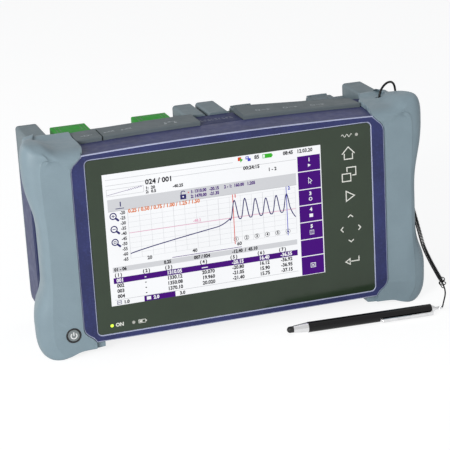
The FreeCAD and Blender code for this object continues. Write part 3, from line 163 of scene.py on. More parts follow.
def spline(name, points, radius=0.0):
    """A smooth cord line: a NURBS spline with these points, in millimetres, as its control points."""
    data = bpy.data.curves.new(name, "CURVE")
    data.dimensions = "3D"
    data.resolution_u = 16
    run = data.splines.new("NURBS")
    run.points.add(len(points) - 1)
    for point, place in zip(run.points, points):
        point.co = (*(part * MM for part in place), 1)
    run.order_u = 3
    run.use_endpoint_u = True
    data.bevel_depth = radius * MM
    data.bevel_resolution = 3
    data.use_fill_caps = True
    thing = bpy.data.objects.new(name, data)
    COLLECTION.objects.link(thing)
    return thing


def followed(points):
    """The points, in millimetres, along the smooth line of a route."""
    guide = spline("guide", points)
    mesh = bpy.data.meshes.new_from_object(guide)
    line = [vertex.co / MM for vertex in mesh.vertices]
    bpy.data.objects.remove(guide)
    bpy.data.meshes.remove(mesh)
    return line


def evenly(line, step):
    """Points step millimetres apart along a line of points."""
    spaced = [line[0].copy()]
    left = step
    for start, end in zip(line, line[1:]):
        run = (end - start).length
        done = 0.0
        while run - done >= left:
            done += left
            spaced.append(start.lerp(end, done / run))
            left = step
        left -= run - done
    return spaced


def coil(points, radius, pitch, per_turn=12):
    """A helix of this radius and pitch round the smooth line of a route, drawn in at both ends."""
    line = evenly(followed(points), pitch / per_turn)
    across = Vector((1, 0, 0))
    turns = []
    for index, place in enumerate(line):
        ahead = line[min(index + 1, len(line) - 1)] - line[max(index - 1, 0)]
        ahead.normalize()
        across = (across - ahead * across.dot(ahead)).normalized()
        side = ahead.cross(across)
        angle = math.tau * index / per_turn
        ends = min(index, len(line) - 1 - index) / (2.0 * per_turn)
        swell = radius * min(1.0, ends)
        turns.append(place + swell * (math.cos(angle) * across + math.sin(angle) * side))
    return turns


tether_line = coil(TETHER_ROUTE, COIL_RADIUS, COIL_PITCH)
loop_cord = spline("loop_cord", LOOP_ROUTE, 0.8)
coiled_cord = spline("coiled_cord", tether_line, STRAND / 2)
coiled_cord.data.resolution_u = 3


# ---------------------------------------------------------------- materials

class Look:
    """A procedural material: one Principled shader and the nodes that feed it."""

    def __init__(self, name, colour, roughness, **sockets):
        self.material = bpy.data.materials.new(name)
        self.material.use_nodes = True
        self.tree = self.material.node_tree
        self.shader = self.tree.nodes["Principled BSDF"]
        self.place = self.add("ShaderNodeTexCoord").outputs["Object"]
        self.colour = colour
        self.height = None
        self.set("Base Color", (*colour, 1))
        self.set("Roughness", roughness)
        for socket, value in sockets.items():
            self.set(socket.replace("_", " "), value)

    def add(self, kind, inputs=None, **settings):
        node = self.tree.nodes.new(kind)
        for name, value in settings.items():
            setattr(node, name, value)
        for name, value in (inputs or {}).items():
            self.feed(node.inputs[name], value)
        return node

    def feed(self, socket, value):
        if isinstance(value, bpy.types.NodeSocket):
            self.tree.links.new(value, socket)
        else:
            socket.default_value = value

    def set(self, socket, value):
        self.feed(self.shader.inputs[socket], value)

    def noise(self, size, detail=2.0, roughness=0.5, stretch=(1, 1, 1), distortion=0.0):
        """Clouds whose features are about size millimetres across."""
        scaled = self.add("ShaderNodeMapping", {"Vector": self.place, "Scale": stretch})
        texture = self.add("ShaderNodeTexNoise", {
            "Vector": scaled.outputs[0], "Scale": 1 / (size * MM), "Detail": detail,
            "Roughness": roughness, "Distortion": distortion})
        return texture.outputs["Fac"]

    def cells(self, size):
        """Distance to the middle of the nearest of many cells about size millimetres across."""
        texture = self.add("ShaderNodeTexVoronoi", {"Vector": self.place,
                                                    "Scale": 1 / (size * MM)})
        return texture.outputs["Distance"]

    def ramp(self, value, low, high, to_low=0.0, to_high=1.0):
        return self.add("ShaderNodeMapRange", {
            "Value": value, "From Min": low, "From Max": high, "To Min": to_low,
            "To Max": to_high}).outputs[0]

    def sum(self, operation, first, second):
        node = self.add("ShaderNodeMath", operation=operation)
        self.feed(node.inputs[0], first)
        self.feed(node.inputs[1], second)
        return node.outputs[0]

    def mix(self, factor, first, second):
        node = self.add("ShaderNodeMix", data_type="RGBA")
        self.feed(node.inputs[0], factor)
        for socket, value in ((node.inputs[6], first), (node.inputs[7], second)):
            self.feed(socket, value if isinstance(value, bpy.types.NodeSocket) else (*value, 1))
        return node.outputs[2]

    def tint(self, factor, gain):
        """The base colour, times gain where factor is 1."""
        other = tuple(min(1, part * gain) for part in self.colour)
        base = self.shader.inputs["Base Color"]
        first = base.links[0].from_socket if base.links else self.colour
        self.set("Base Color", self.mix(factor, first, other))

    def bump(self, height, depth):
        """Raise the surface by depth millimetres where height is 1."""
        node = self.add("ShaderNodeBump", {"Height": height, "Strength": 1.0,
                                           "Distance": depth * MM})
        if self.height:
            self.feed(node.inputs["Normal"], self.height)
        self.height = node.outputs[0]
        self.set("Normal", self.height)
        return self


def moulded(name, colour, roughness, grain=0.45, depth=0.02, tone=0.10, **sockets):
    """Moulded plastic or rubber: a fine spark-eroded grain, slow changes of tone and gloss."""
    look = Look(name, colour, roughness, **sockets)
    cloud = look.noise(22, 3)
    look.tint(look.ramp(cloud, 0.35, 0.65), 1 - tone)
    fine = look.noise(grain, 2.5, 0.6)
    look.tint(look.ramp(fine, 0.5, 0.8, 0, 0.6), 1 + 2.2 * tone)
    look.set("Roughness", look.ramp(look.noise(5, 4), 0.3, 0.7, roughness - 0.06,
                                    roughness + 0.07))
    look.bump(fine, depth)
    look.bump(look.noise(9, 3), 0.02)
    return look


def along(look, axis, low, high):
    """0 below low millimetres along an axis of the frame, 1 above high."""
    parts = look.add("ShaderNodeSeparateXYZ", {0: look.place})
    return look.ramp(parts.outputs[axis], low * MM, high * MM)


def paint_corner_highlight(look, colour, low=0.965, high=0.90):
    """Painted highlight: a paler colour where the surface turns through an outside corner."""
    parts = look.add("ShaderNodeSeparateXYZ", {0: look.add("ShaderNodeTexCoord").outputs["Normal"]})
    most = None
    for axis in "XYZ":
        size = look.add("ShaderNodeMath", {0: parts.outputs[axis]}, operation="ABSOLUTE").outputs[0]
        most = size if most is None else look.sum("MAXIMUM", most, size)
    base = look.shader.inputs["Base Color"].links[0].from_socket
    look.set("Base Color", look.mix(look.ramp(most, low, high), base, colour))
    return look


def two_tone(name, lower, upper, split):
    """A moulding in one colour up to a parting line, and in another above it."""
    look = moulded(name, lower, 0.52, 0.6, 0.03, 0.14, Specular_IOR_Level=0.35)
    base = look.shader.inputs["Base Color"].links[0].from_socket
    above = along(look, 2, split, split + 0.2)
    look.set("Base Color", look.mix(above, base, upper))
    line = look.sum("MULTIPLY", along(look, 2, split - 0.5, split - 0.3), look.sum(
        "SUBTRACT", 1.0, along(look, 2, split + 0.3, split + 0.5)))
    look.bump(line, -0.15)
    return look


def metal(name, colour, roughness, stretch=(1, 1, 1), grain=0.25, depth=0.004):
    """Metal with drawn or turned marks along one direction, and small stains."""
    look = Look(name, colour, roughness, Metallic=1.0)
    marks = look.noise(grain, 3, 0.65, stretch)
    look.set("Roughness", look.ramp(marks, 0.3, 0.7, roughness * 0.7, roughness * 1.5))
    look.tint(look.ramp(look.noise(6, 4), 0.5, 0.75), 0.8)
    look.bump(marks, depth)
    return look


def board(name, colour):
    """A circuit board: solder mask over copper runs."""
    look = Look(name, colour, 0.35, Coat_Weight=0.4, Coat_Roughness=0.15)
    runs = look.cells(3.5)
    look.tint(look.ramp(runs, 0.42, 0.45), 1.7)
    look.bump(look.ramp(runs, 0.40, 0.45), 0.03)
    return look


LOOKS = {
    "rubber": moulded("bumper_rubber", (0.225, 0.300, 0.340), 0.50, 0.35, 0.012, 0.07,
                      Specular_IOR_Level=0.45),
    # Painted highlight: near-white colour put on the bumpers' bevelled lips.
    "rubber_lip_highlight": moulded("bumper_lip_highlight", (0.72, 0.80, 0.82), 0.4, 0.35, 0.005, 0.05),
    # The case's rounded corners get a pale blue-grey painted highlight colour.
    "case": paint_corner_highlight(moulded("case_plastic", (0.027, 0.034, 0.128), 0.50, 1.3, 0.06, 0.30,
                            Specular_IOR_Level=0.35), (0.50, 0.54, 0.68)),
    # Painted highlight: the pale colour put on the front shell's bevelled edges.
    "case_edge_highlight": moulded("case_edge_highlight", (0.44, 0.47, 0.64), 0.3, 0.9, 0.01, 0.1),
    "rear": moulded("rear_plastic", (0.026, 0.033, 0.100), 0.6, 1.3, 0.06, 0.28,
                    Specular_IOR_Level=0.2),
    "module": moulded("module_plastic", (0.145, 0.190, 0.212), 0.55, 0.5, 0.03, 0.10,
                      Specular_IOR_Level=0.25),
    "chassis": two_tone("module_chassis", (0.040, 0.050, 0.130), (0.150, 0.195, 0.215), 112),
    "flap": moulded("flap_rubber", (0.125, 0.150, 0.160), 0.62, 0.35, 0.015, 0.08,
                    Specular_IOR_Level=0.35),
    "black": moulded("black_plastic", (0.012, 0.012, 0.013), 0.45, 0.4, 0.02, 0.2),
    "green": moulded("green_plastic", (0.002, 0.30, 0.006), 0.5, 0.4, 0.01, 0.12,
                     Specular_IOR_Level=0.15),
    "key": moulded("key_plastic", (0.19, 0.215, 0.22), 0.5, 0.3, 0.01, 0.08),
    "board": board("circuit_board", (0.008, 0.075, 0.03)),
    "steel": metal("plated_steel", (0.55, 0.55, 0.53), 0.3, (1, 12, 1)),
    "sheet": metal("sheet_steel", (0.5, 0.51, 0.52), 0.35, (1, 1, 15)),
    "shield": metal("stamped_shield", (0.6, 0.6, 0.58), 0.28, (14, 1, 1)),
    "turned": metal("turned_metal", (0.62, 0.6, 0.55), 0.25, (1, 1, 14)),
    "cast": metal("cast_metal", (0.35, 0.36, 0.37), 0.5, (1, 1, 1), 0.8, 0.02),
    "nickel": metal("nickel_wire", (0.62, 0.61, 0.59), 0.2, (1, 10, 10)),
    "bright": metal("bright_metal", (0.75, 0.75, 0.76), 0.16, (14, 1, 1)),
    "sleeve": moulded("battery_sleeve", (0.015, 0.03, 0.12), 0.3, 1.2, 0.02, 0.1),
    "lacquer": moulded("black_lacquer", (0.002, 0.002, 0.0025), 0.2, 1.5, 0.002, 0.1,
                       Specular_IOR_Level=0.3),
    "tip": moulded("stylus_rubber", (0.008, 0.008, 0.008), 0.5, 0.2, 0.01, 0.2),
}


def glass_panel():
    """Back-printed touch panel: dark olive print under clear gloss, with faint smears."""
    look = Look("panel_glass", (0.026, 0.044, 0.024), 0.2, Coat_Weight=0.15,
                Coat_Roughness=0.08, Specular_IOR_Level=0.35)
    look.tint(look.ramp(look.noise(30, 3), 0.35, 0.7), 0.86)
    look.set("Roughness", look.ramp(look.noise(14, 5, 0.6, (1, 1, 2.2), 0.8), 0.4, 0.7, 0.13,
                                    0.24))
    look.bump(look.noise(25, 1), 0.01)
    return look


def lit(name, colour, strength):
    look = Look(name, colour, 0.25, Emission_Color=(*colour, 1), Emission_Strength=strength)
    look.set("Roughness", look.ramp(look.noise(3, 3), 0.3, 0.7, 0.18, 0.3))
    return look


LOOKS["panel"] = glass_panel()
LOOKS["lcd"] = metal("display_frame", (0.4, 0.4, 0.41), 0.4, (12, 1, 1))


def lights():
    """The power light glows yellow-green; the other two are unlit, pale and clear, with a faint painted
    glow.
    """
    look = lit("status_light", (0.55, 0.55, 0.50), 0.12)
    unlit = along(look, 0, -84, -83)
    look.set("Base Color", look.mix(unlit, (0.55, 0.80, 0.06), (0.42, 0.42, 0.38)))
    # The unlit two still get a faint emission: a painted glow.
    look.set("Emission Color", look.mix(unlit, (4.2, 6.0, 0.3), (0.35, 0.35, 0.3)))
    return look


LOOKS["light"] = lights()

LOOKS["cord"] = moulded("cord_black", (0.003, 0.003, 0.004), 0.4, 0.3, 0.01, 0.2,
                        Specular_IOR_Level=0.22)
for cord in (loop_cord, coiled_cord):
    cord.data.materials.append(LOOKS["cord"].material)
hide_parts("tether_loop")
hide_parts("stylus_tether")
for cord in (loop_cord, coiled_cord):
    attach(cord, "unit")

DRESS = {
    "rubber": ["left_bumper", "right_bumper"],
    "case": ["front_shell"],
    "rear": ["rear_shell"],
    "module": ["left_module_cover", "right_module_cover", "battery_door",
               "right_port_cap_inner", "right_port_cap_outer"],
    "chassis": ["left_module_case", "right_module_case", "module_carrier"],
    "flap": ["power_flap", "data_flap", "fibre_flap", "flap_hinge_strips"],
    "panel": ["touch_panel"],
    "lcd": ["lcd_display"],
    "light": ["status_lights"],
    "board": ["key_board", "main_board", "connector_board", "backplane_board"],
    "sheet": ["display_bracket"],
    "sleeve": ["battery_pack"],
    "steel": ["battery_door_screws", "bumper_screws", "port_cap_pins",
              "left_module_screw_inner", "left_module_screw_outer",
              "right_module_screw_inner", "right_module_screw_outer"],
    "black": ["fan_housing", "fan_rotor", "speaker", "dc_inlet", "usb_ports",
              "power_button_ring", "power_switch"],
    "shield": ["ethernet_jack"],
    "turned": ["fibre_test_ports"],
    "green": ["left_port_adapters", "right_port_adapters", "left_port_cap_inner",
              "left_port_cap_outer"],
    "cast": ["left_module_optics", "right_module_optics"],
    "key": ["power_button"],
    "nickel": ["tilt_bail"],
    "cord": ["tether_thread"],
    "lacquer": ["stylus_barrel"],
    "bright": ["stylus_ferrule", "stylus_clip", "stylus_cap"],
    "tip": ["stylus_tip"],
}
for look, names in DRESS.items():
    for name in names:
        mesh = NODES[name].data
        mesh.materials.clear()
        mesh.materials.append(LOOKS[look].material)


# ---------------------------------------------------------------- screen and printing

SCREEN_LEFT = -89.27
SCREEN_TOP = 123.7
SCREEN_WIDTH = 152.4
SCREEN_HEIGHT = 91.44
KEY_MIDDLE = 83.2
KEY_STROKE = 0.72
OVER_THE_ROOF = 160


def dot(x, z, radius, sides=20):
    return [(x + radius * math.cos(math.tau * k / sides), z + radius * math.sin(math.tau * k / sides))
            for k in range(sides)]


def oblong(x0, z0, x1, z1):
    return [(x0, z0), (x1, z0), (x1, z1), (x0, z1)]


class Print:
    """Flat shapes on an upright plane, each colour a hair above the last, or laid down onto a node."""

    def __init__(self, name, plane, body="unit", left=0.0, top=None, onto=None):
        self.name = name
        self.plane = plane
        self.body = body
        self.onto = onto
        self.left = left
        self.top = top
        self.shapes = []

    def at(self, point):
        """A point in millimetres from the left and the top, or straight in X and Z."""
        x, z = point
        if self.top is None:
            return self.left + x, z
        return self.left + x, self.top - z

    def fill(self, look, layer, *outlines):
        for outline in outlines:
            points = [self.at(point) for point in outline]
            turn = sum(a[0] * b[1] - b[0] * a[1] for a, b in zip(points, points[1:] + points[:1]))
            self.shapes.append((look, layer, points if turn > 0 else points[::-1]))

    def line(self, look, layer, width, points, closed=False):
        """A stroke with mitred corners."""
        spots = [Vector(self.at(point)) for point in points]
        count = len(spots)
        sides = []
        for index, spot in enumerate(spots):
            before = spots[index - 1] if index or closed else None
            after = spots[(index + 1) % count] if index + 1 < count or closed else None
            ways = [way.normalized() for way in
                    ((spot - before) if before else None, (after - spot) if after else None) if way]
            normals = [Vector((-way.y, way.x)) for way in ways]
            mean = sum(normals, Vector((0, 0))).normalized()
            stretch = 1 / max(0.4, mean.dot(normals[0]))
            sides.append((spot + mean * stretch * width / 2, spot - mean * stretch * width / 2))
        pairs = list(zip(sides, sides[1:] + sides[:1])) if closed else list(zip(sides, sides[1:]))
        for (a, b), (c, d) in pairs:
            self.shapes.append((look, layer, [tuple(b), tuple(d), tuple(c), tuple(a)]))

    def text(self, look, layer, body, x, z, height, align="LEFT", bold=0.0, squeeze=1.0):
        """Numerals whose capital height is given; bold thickens the strokes."""
        data = bpy.data.curves.new("numerals", "FONT")
        data.body = body
        data.align_x = align
        data.size = 1.18 * height / 0.7
        data.offset = 0.8 * bold + 0.09
        data.resolution_u = 2
        thing = bpy.data.objects.new("numerals", data)
        mesh = bpy.data.meshes.new_from_object(thing)
        x, z = self.at((x, z))
        for face in mesh.polygons:
            points = [mesh.vertices[k].co for k in face.vertices]
            self.shapes.append((look, layer, [(x + squeeze * p.x, z + p.y) for p in points]))
        bpy.data.objects.remove(thing)
        bpy.data.meshes.remove(mesh)
        bpy.data.curves.remove(data)

    def make(self):
        looks = sorted({look for look, _, _ in self.shapes})
        points, faces, slots = [], [], []
        for look, layer, outline in self.shapes:
            faces.append(range(len(points), len(points) + len(outline)))
            if self.onto:
                points += [(x * MM, y * MM, self.plane * MM) for x, y in outline]
            else:
                depth = self.plane - 0.008 * (layer + 1)
                points += [(x * MM, depth * MM, z * MM) for x, z in outline]
            slots.append(looks.index(look))
        mesh = bpy.data.meshes.new(self.name)
        mesh.from_pydata(points, [], faces)
        for look in looks:
            mesh.materials.append(LOOKS[look].material)
        for face, slot in zip(mesh.polygons, slots):
            face.material_index = slot
        thing = bpy.data.objects.new(self.name, mesh)
        COLLECTION.objects.link(thing)
        if self.onto:
            lay_down(thing, NODES[self.onto])
        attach(thing, self.body)
        return thing


def lay_down(thing, node):
    """Lower a flat mesh straight down onto a node's top surface."""
    wrap = thing.modifiers.new("lay", "SHRINKWRAP")
    wrap.target = node
    wrap.wrap_method = "PROJECT"
    wrap.use_project_z = True
    wrap.use_negative_direction = True
    wrap.use_positive_direction = False
    wrap.offset = 0.03 * MM
    wrap.wrap_mode = "ABOVE_SURFACE"
    laid = bpy.data.meshes.new_from_object(
        thing.evaluated_get(bpy.context.evaluated_depsgraph_get()))
    thing.modifiers.clear()
    thing.data = laid


def display_look(name, colour, strength=1.0):
    """A colour of the lit display: it glows by itself under the panel's gloss."""
    look = Look(name, tuple(0.15 * part for part in colour), 0.22, Specular_IOR_Level=0.1,
                Emission_Color=(*colour, 1), Emission_Strength=strength)
    look.set("Roughness", look.ramp(look.noise(14, 4, 0.6, (1, 1, 2.2)), 0.4, 0.7, 0.18, 0.28))
    shade = look.ramp(look.noise(60, 1), 0.3, 0.7, 0.94, 1.0)
    dots = look.ramp(look.cells(0.19), 0.1, 0.5, 1.0, 0.93)
    glow = look.add("ShaderNodeVectorMath", {0: colour}, operation="SCALE")
    look.feed(glow.inputs["Scale"], look.sum("MULTIPLY", shade, dots))
    look.set("Emission Color", glow.outputs[0])
    return look


DISPLAY = {
    "white": ((0.95, 0.96, 0.98), 0.92), "paper": ((0.70, 0.71, 0.74), 0.85),
    "grey": ((0.56, 0.57, 0.60), 0.75), "ink": ((0.012, 0.012, 0.02), 0.7),
    "violet": ((0.070, 0.002, 0.22), 0.8), "navy": ((0.025, 0.02, 0.16), 0.8),
    "red": ((0.80, 0.05, 0.02), 0.8), "pink": ((0.90, 0.45, 0.62), 0.8),
    "blue": ((0.06, 0.07, 0.60), 0.8), "leaf": ((0.05, 0.50, 0.03), 0.8),
    "orange": ((0.85, 0.20, 0.03), 0.8),
}
for shade, (colour, strength) in DISPLAY.items():
    LOOKS[shade] = display_look(f"display_{shade}", colour, strength)
LOOKS["key_ink"] = moulded("printed_ink", (0.80, 0.80, 0.73), 0.35, 0.3, 0.004, 0.05)
LOOKS["symbol"] = moulded("button_symbol", (0.80, 0.81, 0.80), 0.4, 0.3, 0.004, 0.04)

panel_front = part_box("touch_panel")[0][1] / MM


def screen():
    """The lit display: header, graph with a trace and cursors, table of numbers and soft keys."""
    art = Print("screen_picture", panel_front, left=SCREEN_LEFT, top=SCREEN_TOP)
    keys = SCREEN_WIDTH - 16.9
    art.fill("white", 0, oblong(0, 0, SCREEN_WIDTH, SCREEN_HEIGHT))
    header(art, keys)
    graph(art)
    table(art, keys)
    soft_keys(art, keys)
    return art.make()


def header(art, keys):
    art.line("grey", 1, 0.25, [(2, 3.9), (90, 3.9)])
    art.line("grey", 1, 0.25, [(2, 7.8), (keys - 1, 7.8)])
    art.line("grey", 1, 0.22, oblong(2.3, 10.6, 27.6, 15.2), closed=True)
    ripple = [(2.6 + 0.4 * k, 14.3 - 0.055 * k - (0.45 * math.sin(1.9 * k) if k > 34 else 0))
              for k in range(61)]
    art.line("violet", 2, 0.25, ripple)
    art.text("ink", 2, "024 / 001", 28.9, 10.4, 2.9, bold=0.10)
    art.text("ink", 2, "1:  20", 28.9, 13.8, 1.7, bold=0.05)
    art.text("ink", 2, "2:  0.5", 28.9, 16.4, 1.7, bold=0.05)
    art.text("ink", 2, "-40.25", 47.5, 15.2, 1.7, bold=0.05)
    art.text("ink", 2, "00:24:15", 97, 10.0, 2.0, bold=0.07)
    art.text("ink", 2, "1 - 2", 114.5, 13.2, 1.9, bold=0.05)
    art.text("ink", 2, "08:45   12.03.20", 125.5, 3.6, 2.1, bold=0.07, squeeze=0.92)
    art.text("ink", 2, "85", 105.2, 3.5, 2.1, bold=0.05)
    art.fill("leaf", 2, oblong(111, 1.0, 117.6, 3.9), oblong(117.6, 1.8, 118.2, 3.1))
    art.fill("white", 3, oblong(111.4, 1.4, 112.6, 3.5))
    art.fill("red", 2, oblong(93.6, 0.9, 96.0, 3.4))
    art.fill("leaf", 3, [(94.8, 1.5), (97.2, 2.8), (95.4, 4.6)])
    art.fill("blue", 2, oblong(99, 1.0, 101.3, 3.0), oblong(100.4, 2.4, 102.6, 4.4))
    art.fill("white", 3, oblong(99.5, 1.5, 100.6, 2.3))
    art.fill("paper", 1, oblong(2.4, 17.4, keys - 1.4, 25.6))
    art.line("grey", 2, 0.25, [(2.4, 25.7), (keys - 1.4, 25.7)])
    art.text("navy", 2, "1", 10.0, 22.8, 2.6, bold=0.08)
    art.line("navy", 2, 0.5, [(7.6, 24.2), (13.4, 24.2)])
    art.fill("navy", 2, oblong(52.2, 20.9, 56.3, 24.2))
    art.line("navy", 2, 0.6, [(52.9, 20.9), (52.9, 19.4), (53.6, 18.6), (55.0, 18.6), (55.6, 19.3)])
    art.fill("white", 3, dot(54.2, 22.5, 0.55, 12))
    art.text("violet", 2, "1: 1310.00   -20.15     2 - 1:  160.00   1.205", 59.5, 20.8, 1.8,
             bold=0.08, squeeze=0.86)
    art.text("violet", 2, "2: 1470.00   -21.35", 59.5, 24.1, 1.8, bold=0.08, squeeze=0.86)
    art.fill("red", 2, [(57.6, 19.4), (58.8, 20.0), (57.6, 20.6)])


def graph(art):
    left, right, top, bottom = 15.6, 133.0, 27.4, 59.8
    for index in range(16):
        x = left + index * (right - left) / 15
        art.line("paper", 1, 0.2 if index % 4 else 0.3, [(x, top), (x, bottom)])
    for index in range(10):
        z = top + index * (bottom - top) / 9
        art.line("paper", 1, 0.16, [(left, z), (right, z)])
        art.text("ink", 2, str(-20 - 5 * index), 13.9, z + 1.0, 1.9, "RIGHT", bold=0.03,
                 squeeze=0.85)
    art.line("pink", 2, 0.4, [(left, 42.0), (right, 42.4)])
    art.text("pink", 2, "-48.2", 60, 41.2, 1.7, squeeze=0.95)
    art.text("orange", 2, "0.25 / 0.50 / 0.75 / 1.00 / 1.25 / 1.50", 16.0, 28.0, 2.2, bold=0.08,
             squeeze=0.92)
    first, gap, peaks = 89.4, 7.45, 6
    trace = []
    steps = 60
    for k in range(steps):
        share = k / (steps - 1)
        x = left + share * (first - 3.6 - left)
        rise = 10.6 * share ** 0.85 + 3.2 * max(0, share - 0.86) ** 2 / 0.0196
        trace.append((x, 56.4 - rise))
    tail = first + (peaks - 1) * gap + 2.0
    for k in range(221):
        x = first - 3.4 + k * (tail - first + 3.4) / 220
        turn = (x - first) / gap
        swing = (0.5 + 0.5 * math.cos(math.tau * turn)) ** 1.5
        level = 30.2 - 0.7 * math.sin(1.7 * turn) + 0.3 * turn
        trace.append((x, 43.6 - (43.6 - level) * swing))
    last = trace[-1]
    trace += [(last[0] + 0.5 * k, last[1] + 12.5 * (1 - math.exp(-0.13 * k)))
              for k in range(1, 11)]
    trace = [point for point in trace if point[0] < right]
    art.line("navy", 4, 0.7, trace)
    art.line("red", 3, 0.5, [(first - 0.9, 25.9), (first - 0.9, 61.0)])
    art.text("red", 3, "1", first + 0.1, 28.2, 1.9, bold=0.08)
    art.line("blue", 3, 0.5, [(126.6, 25.9), (126.6, 60.6)])
    art.text("blue", 3, "2", 127.8, 28.2, 1.9, bold=0.08)
    for index in range(peaks):
        x = first + gap * index
        art.line("ink", 2, 0.26, dot(x, 57.6, 1.6, 16), closed=True)
        art.text("ink", 2, str(index + 1), x, 58.4, 1.6, "CENTER", bold=0.04)
    for index, x in enumerate((28.5, 60.0, 91.5)):
        art.text("ink", 2, str(20 * (index + 1)), x, 62.2, 2.0, "CENTER", bold=0.03)
    for index, z in enumerate((29.0, 38.0, 47.0)):
        art.line("navy", 2, 0.75, dot(5.6, z, 2.1, 20), closed=True)
        art.line("navy", 2, 1.4, [(7.2, z + 1.6), (9.3, z + 3.6)])
        if index < 2:
            art.line("navy", 2, 0.5, [(4.5, z), (6.7, z)])
        if index == 0:
            art.line("navy", 2, 0.5, [(5.6, z - 1.1), (5.6, z + 1.1)])
        if index == 2:
            art.line("navy", 2, 0.4, oblong(4.9, z - 0.7, 6.3, z + 0.7), closed=True)


def table(art, keys):
    right = keys - 2.6
    art.line("violet", 1, 0.4, [(44, 63.6), (93, 63.6)])
    art.fill("paper", 1, oblong(2.6, 64.4, right, 68.0))
    heads = ((3.6, "01 - 06"), (38, "0.25"), (59, "007 / 024"), (86, "-12.40  /  45.10"))
    for x, body in heads:
        art.text("ink", 2, body, x, 67.2, 1.9, bold=0.09, squeeze=0.92)
    columns = (3.6, 23.0, 38.5, 63.0, 84.5, 104.0, 119.5)
    for index, x in enumerate(columns):
        art.text("ink", 2, f"( {index + 1} )", x, 71.0, 1.9, bold=0.09, squeeze=0.92)
    art.fill("violet", 1, oblong(2.6, 71.9, right, 75.9))
    rows = (("001", "-", "1310.05", "----", "-20.15", "16.40", "-36.55"),
            ("002", "-", "1330.12", "20.070", "-20.80", "16.12", "-36.92"),
            ("003", "-", "1350.08", "19.960", "-21.05", "15.90", "-36.95"),
            ("004", "-", "1370.10", "20.020", "-21.40", "15.75", "-37.15"))
    for row, cells in enumerate(rows):
        z = 75.0 + 3.75 * row
        for x, body in zip(columns, cells):
            art.text("ink" if row else "white", 2, body, x + 1.0, z, 2.1, bold=0.07,
                     squeeze=0.93)
    art.line("grey", 1, 0.25, [(2.6, 87.4), (right, 87.4)])
    art.fill("violet", 1, oblong(22.7, 87.6, 44.5, SCREEN_HEIGHT))
    art.line("navy", 2, 0.35, oblong(4.0, 88.2, 6.8, 90.6), closed=True)
    art.line("navy", 2, 0.3, [(4.3, 89.9), (5.0, 89.0), (5.7, 89.7), (6.5, 88.7)])
    art.text("ink", 2, "1.0", 8.5, 90.6, 1.9, bold=0.08)
    art.fill("white", 2, oblong(24.4, 88.3, 27.4, 90.6))
    art.text("white", 2, "2.0", 29.2, 90.6, 1.9, bold=0.08)
    art.text("ink", 2, "3.0", 47.5, 90.6, 1.9, bold=0.08)


def soft_keys(art, keys):
    edges = (5.9, 17.2, 29.9, 41.2, 53.3, 65.7, 77.8, SCREEN_HEIGHT)
    centre = keys + 8.4
    for index, (top, bottom) in enumerate(zip(edges, edges[1:])):
        art.fill("violet", 1, oblong(keys, top + 0.3, SCREEN_WIDTH - 0.6, bottom - 0.3))
        if index in (0, 2, 3, 4):
            art.text("white", 2, str(index + 1), centre, top + 4.4, 2.0, "CENTER", bold=0.1)
    art.fill("white", 2, [(centre - 0.9, 12.0), (centre + 1.2, 13.1), (centre - 0.9, 14.2)])
    art.line("white", 2, 0.35, [(centre - 0.9, 21.8), (centre - 0.9, 25.8), (centre, 25.0),
                                (centre + 0.8, 26.4)])
    art.line("white", 2, 0.35, [(centre - 0.9, 21.8), (centre + 1.5, 24.3), (centre, 25.0)])
    art.line("white", 2, 0.5, dot(centre, 37.0, 1.05, 12), closed=True)
    art.fill("white", 2, oblong(centre - 1.3, 47.6, centre + 1.3, 50.0))
    art.line("white", 2, 0.3, oblong(centre - 1.4, 59.5, centre + 1.4, 62.3), closed=True)
    art.line("white", 2, 0.3, [(centre, 59.5), (centre, 62.3)])
    art.line("white", 2, 0.35, oblong(centre - 1.7, 83.2, centre + 1.7, 86.2), closed=True)
    art.line("white", 2, 0.35, [(centre - 0.9, 83.9), (centre + 0.9, 85.5)])
    art.line("white", 2, 0.35, [(centre + 0.9, 83.9), (centre - 0.9, 85.5)])


def panel_printing():
    """The column of touch-key pictograms beside the display, and the marks by the lights."""
    art = Print("panel_printing", panel_front)
    x = KEY_MIDDLE
    art.line("key_ink", 0, KEY_STROKE, [(x - 3.0, 115.0), (x - 3.0, 110.9), (x + 3.0, 110.9),
                                       (x + 3.0, 115.0)])
    art.line("key_ink", 0, KEY_STROKE, [(x - 4.6, 114.6), (x, 119.4), (x + 4.6, 114.6)])
    art.line("key_ink", 0, KEY_STROKE, oblong(x - 5.0, 95.2, x + 1.2, 100.6), closed=True)
    art.line("key_ink", 0, KEY_STROKE, [(x - 1.4, 101.8), (x - 1.4, 104.9), (x + 5.0, 104.9),
                                       (x + 5.0, 99.2), (x + 2.4, 99.2)])
    art.line("key_ink", 0, KEY_STROKE, [(x - 2.6, 88.2), (x + 3.4, 84.6), (x - 2.6, 81.0)], closed=True)
    for across, up, turn in ((0, 9.9, 90), (0, -9.6, 270), (-7.2, 0, 180), (7.2, 0, 0)):
        angle = math.radians(turn)
        tip = (x + across, 61.0 + up)
        ends = [(tip[0] - 1.6 * math.cos(angle) - side * 1.9 * math.sin(angle),
                 tip[1] - 1.6 * math.sin(angle) + side * 1.9 * math.cos(angle)) for side in (1, -1)]
        art.line("key_ink", 0, KEY_STROKE, [ends[0], tip, ends[1]])
    art.line("key_ink", 0, KEY_STROKE, [(x + 5.2, 40.4), (x + 5.2, 37.2), (x - 1.4, 37.2)])
    art.line("key_ink", 0, KEY_STROKE, [(x - 1.4, 39.2), (x - 4.6, 37.2), (x - 1.4, 35.2)], closed=True)
    art.text("key_ink", 0, "ON", -87.6, 17.6, 2.1, bold=0.06)
    art.line("key_ink", 0, 0.35, oblong(-71.6, 17.5, -66.8, 19.7), closed=True)
    art.fill("key_ink", 0, oblong(-66.5, 18.1, -66.0, 19.1), oblong(-71.1, 18.0, -69.0, 19.2))
    wave = [(78.6 + 0.4 * k, 127.5 + 0.9 * math.sin(0.8 * k)) for k in range(20)]
    art.line("key_ink", 0, 0.4, wave)
    return art.make()


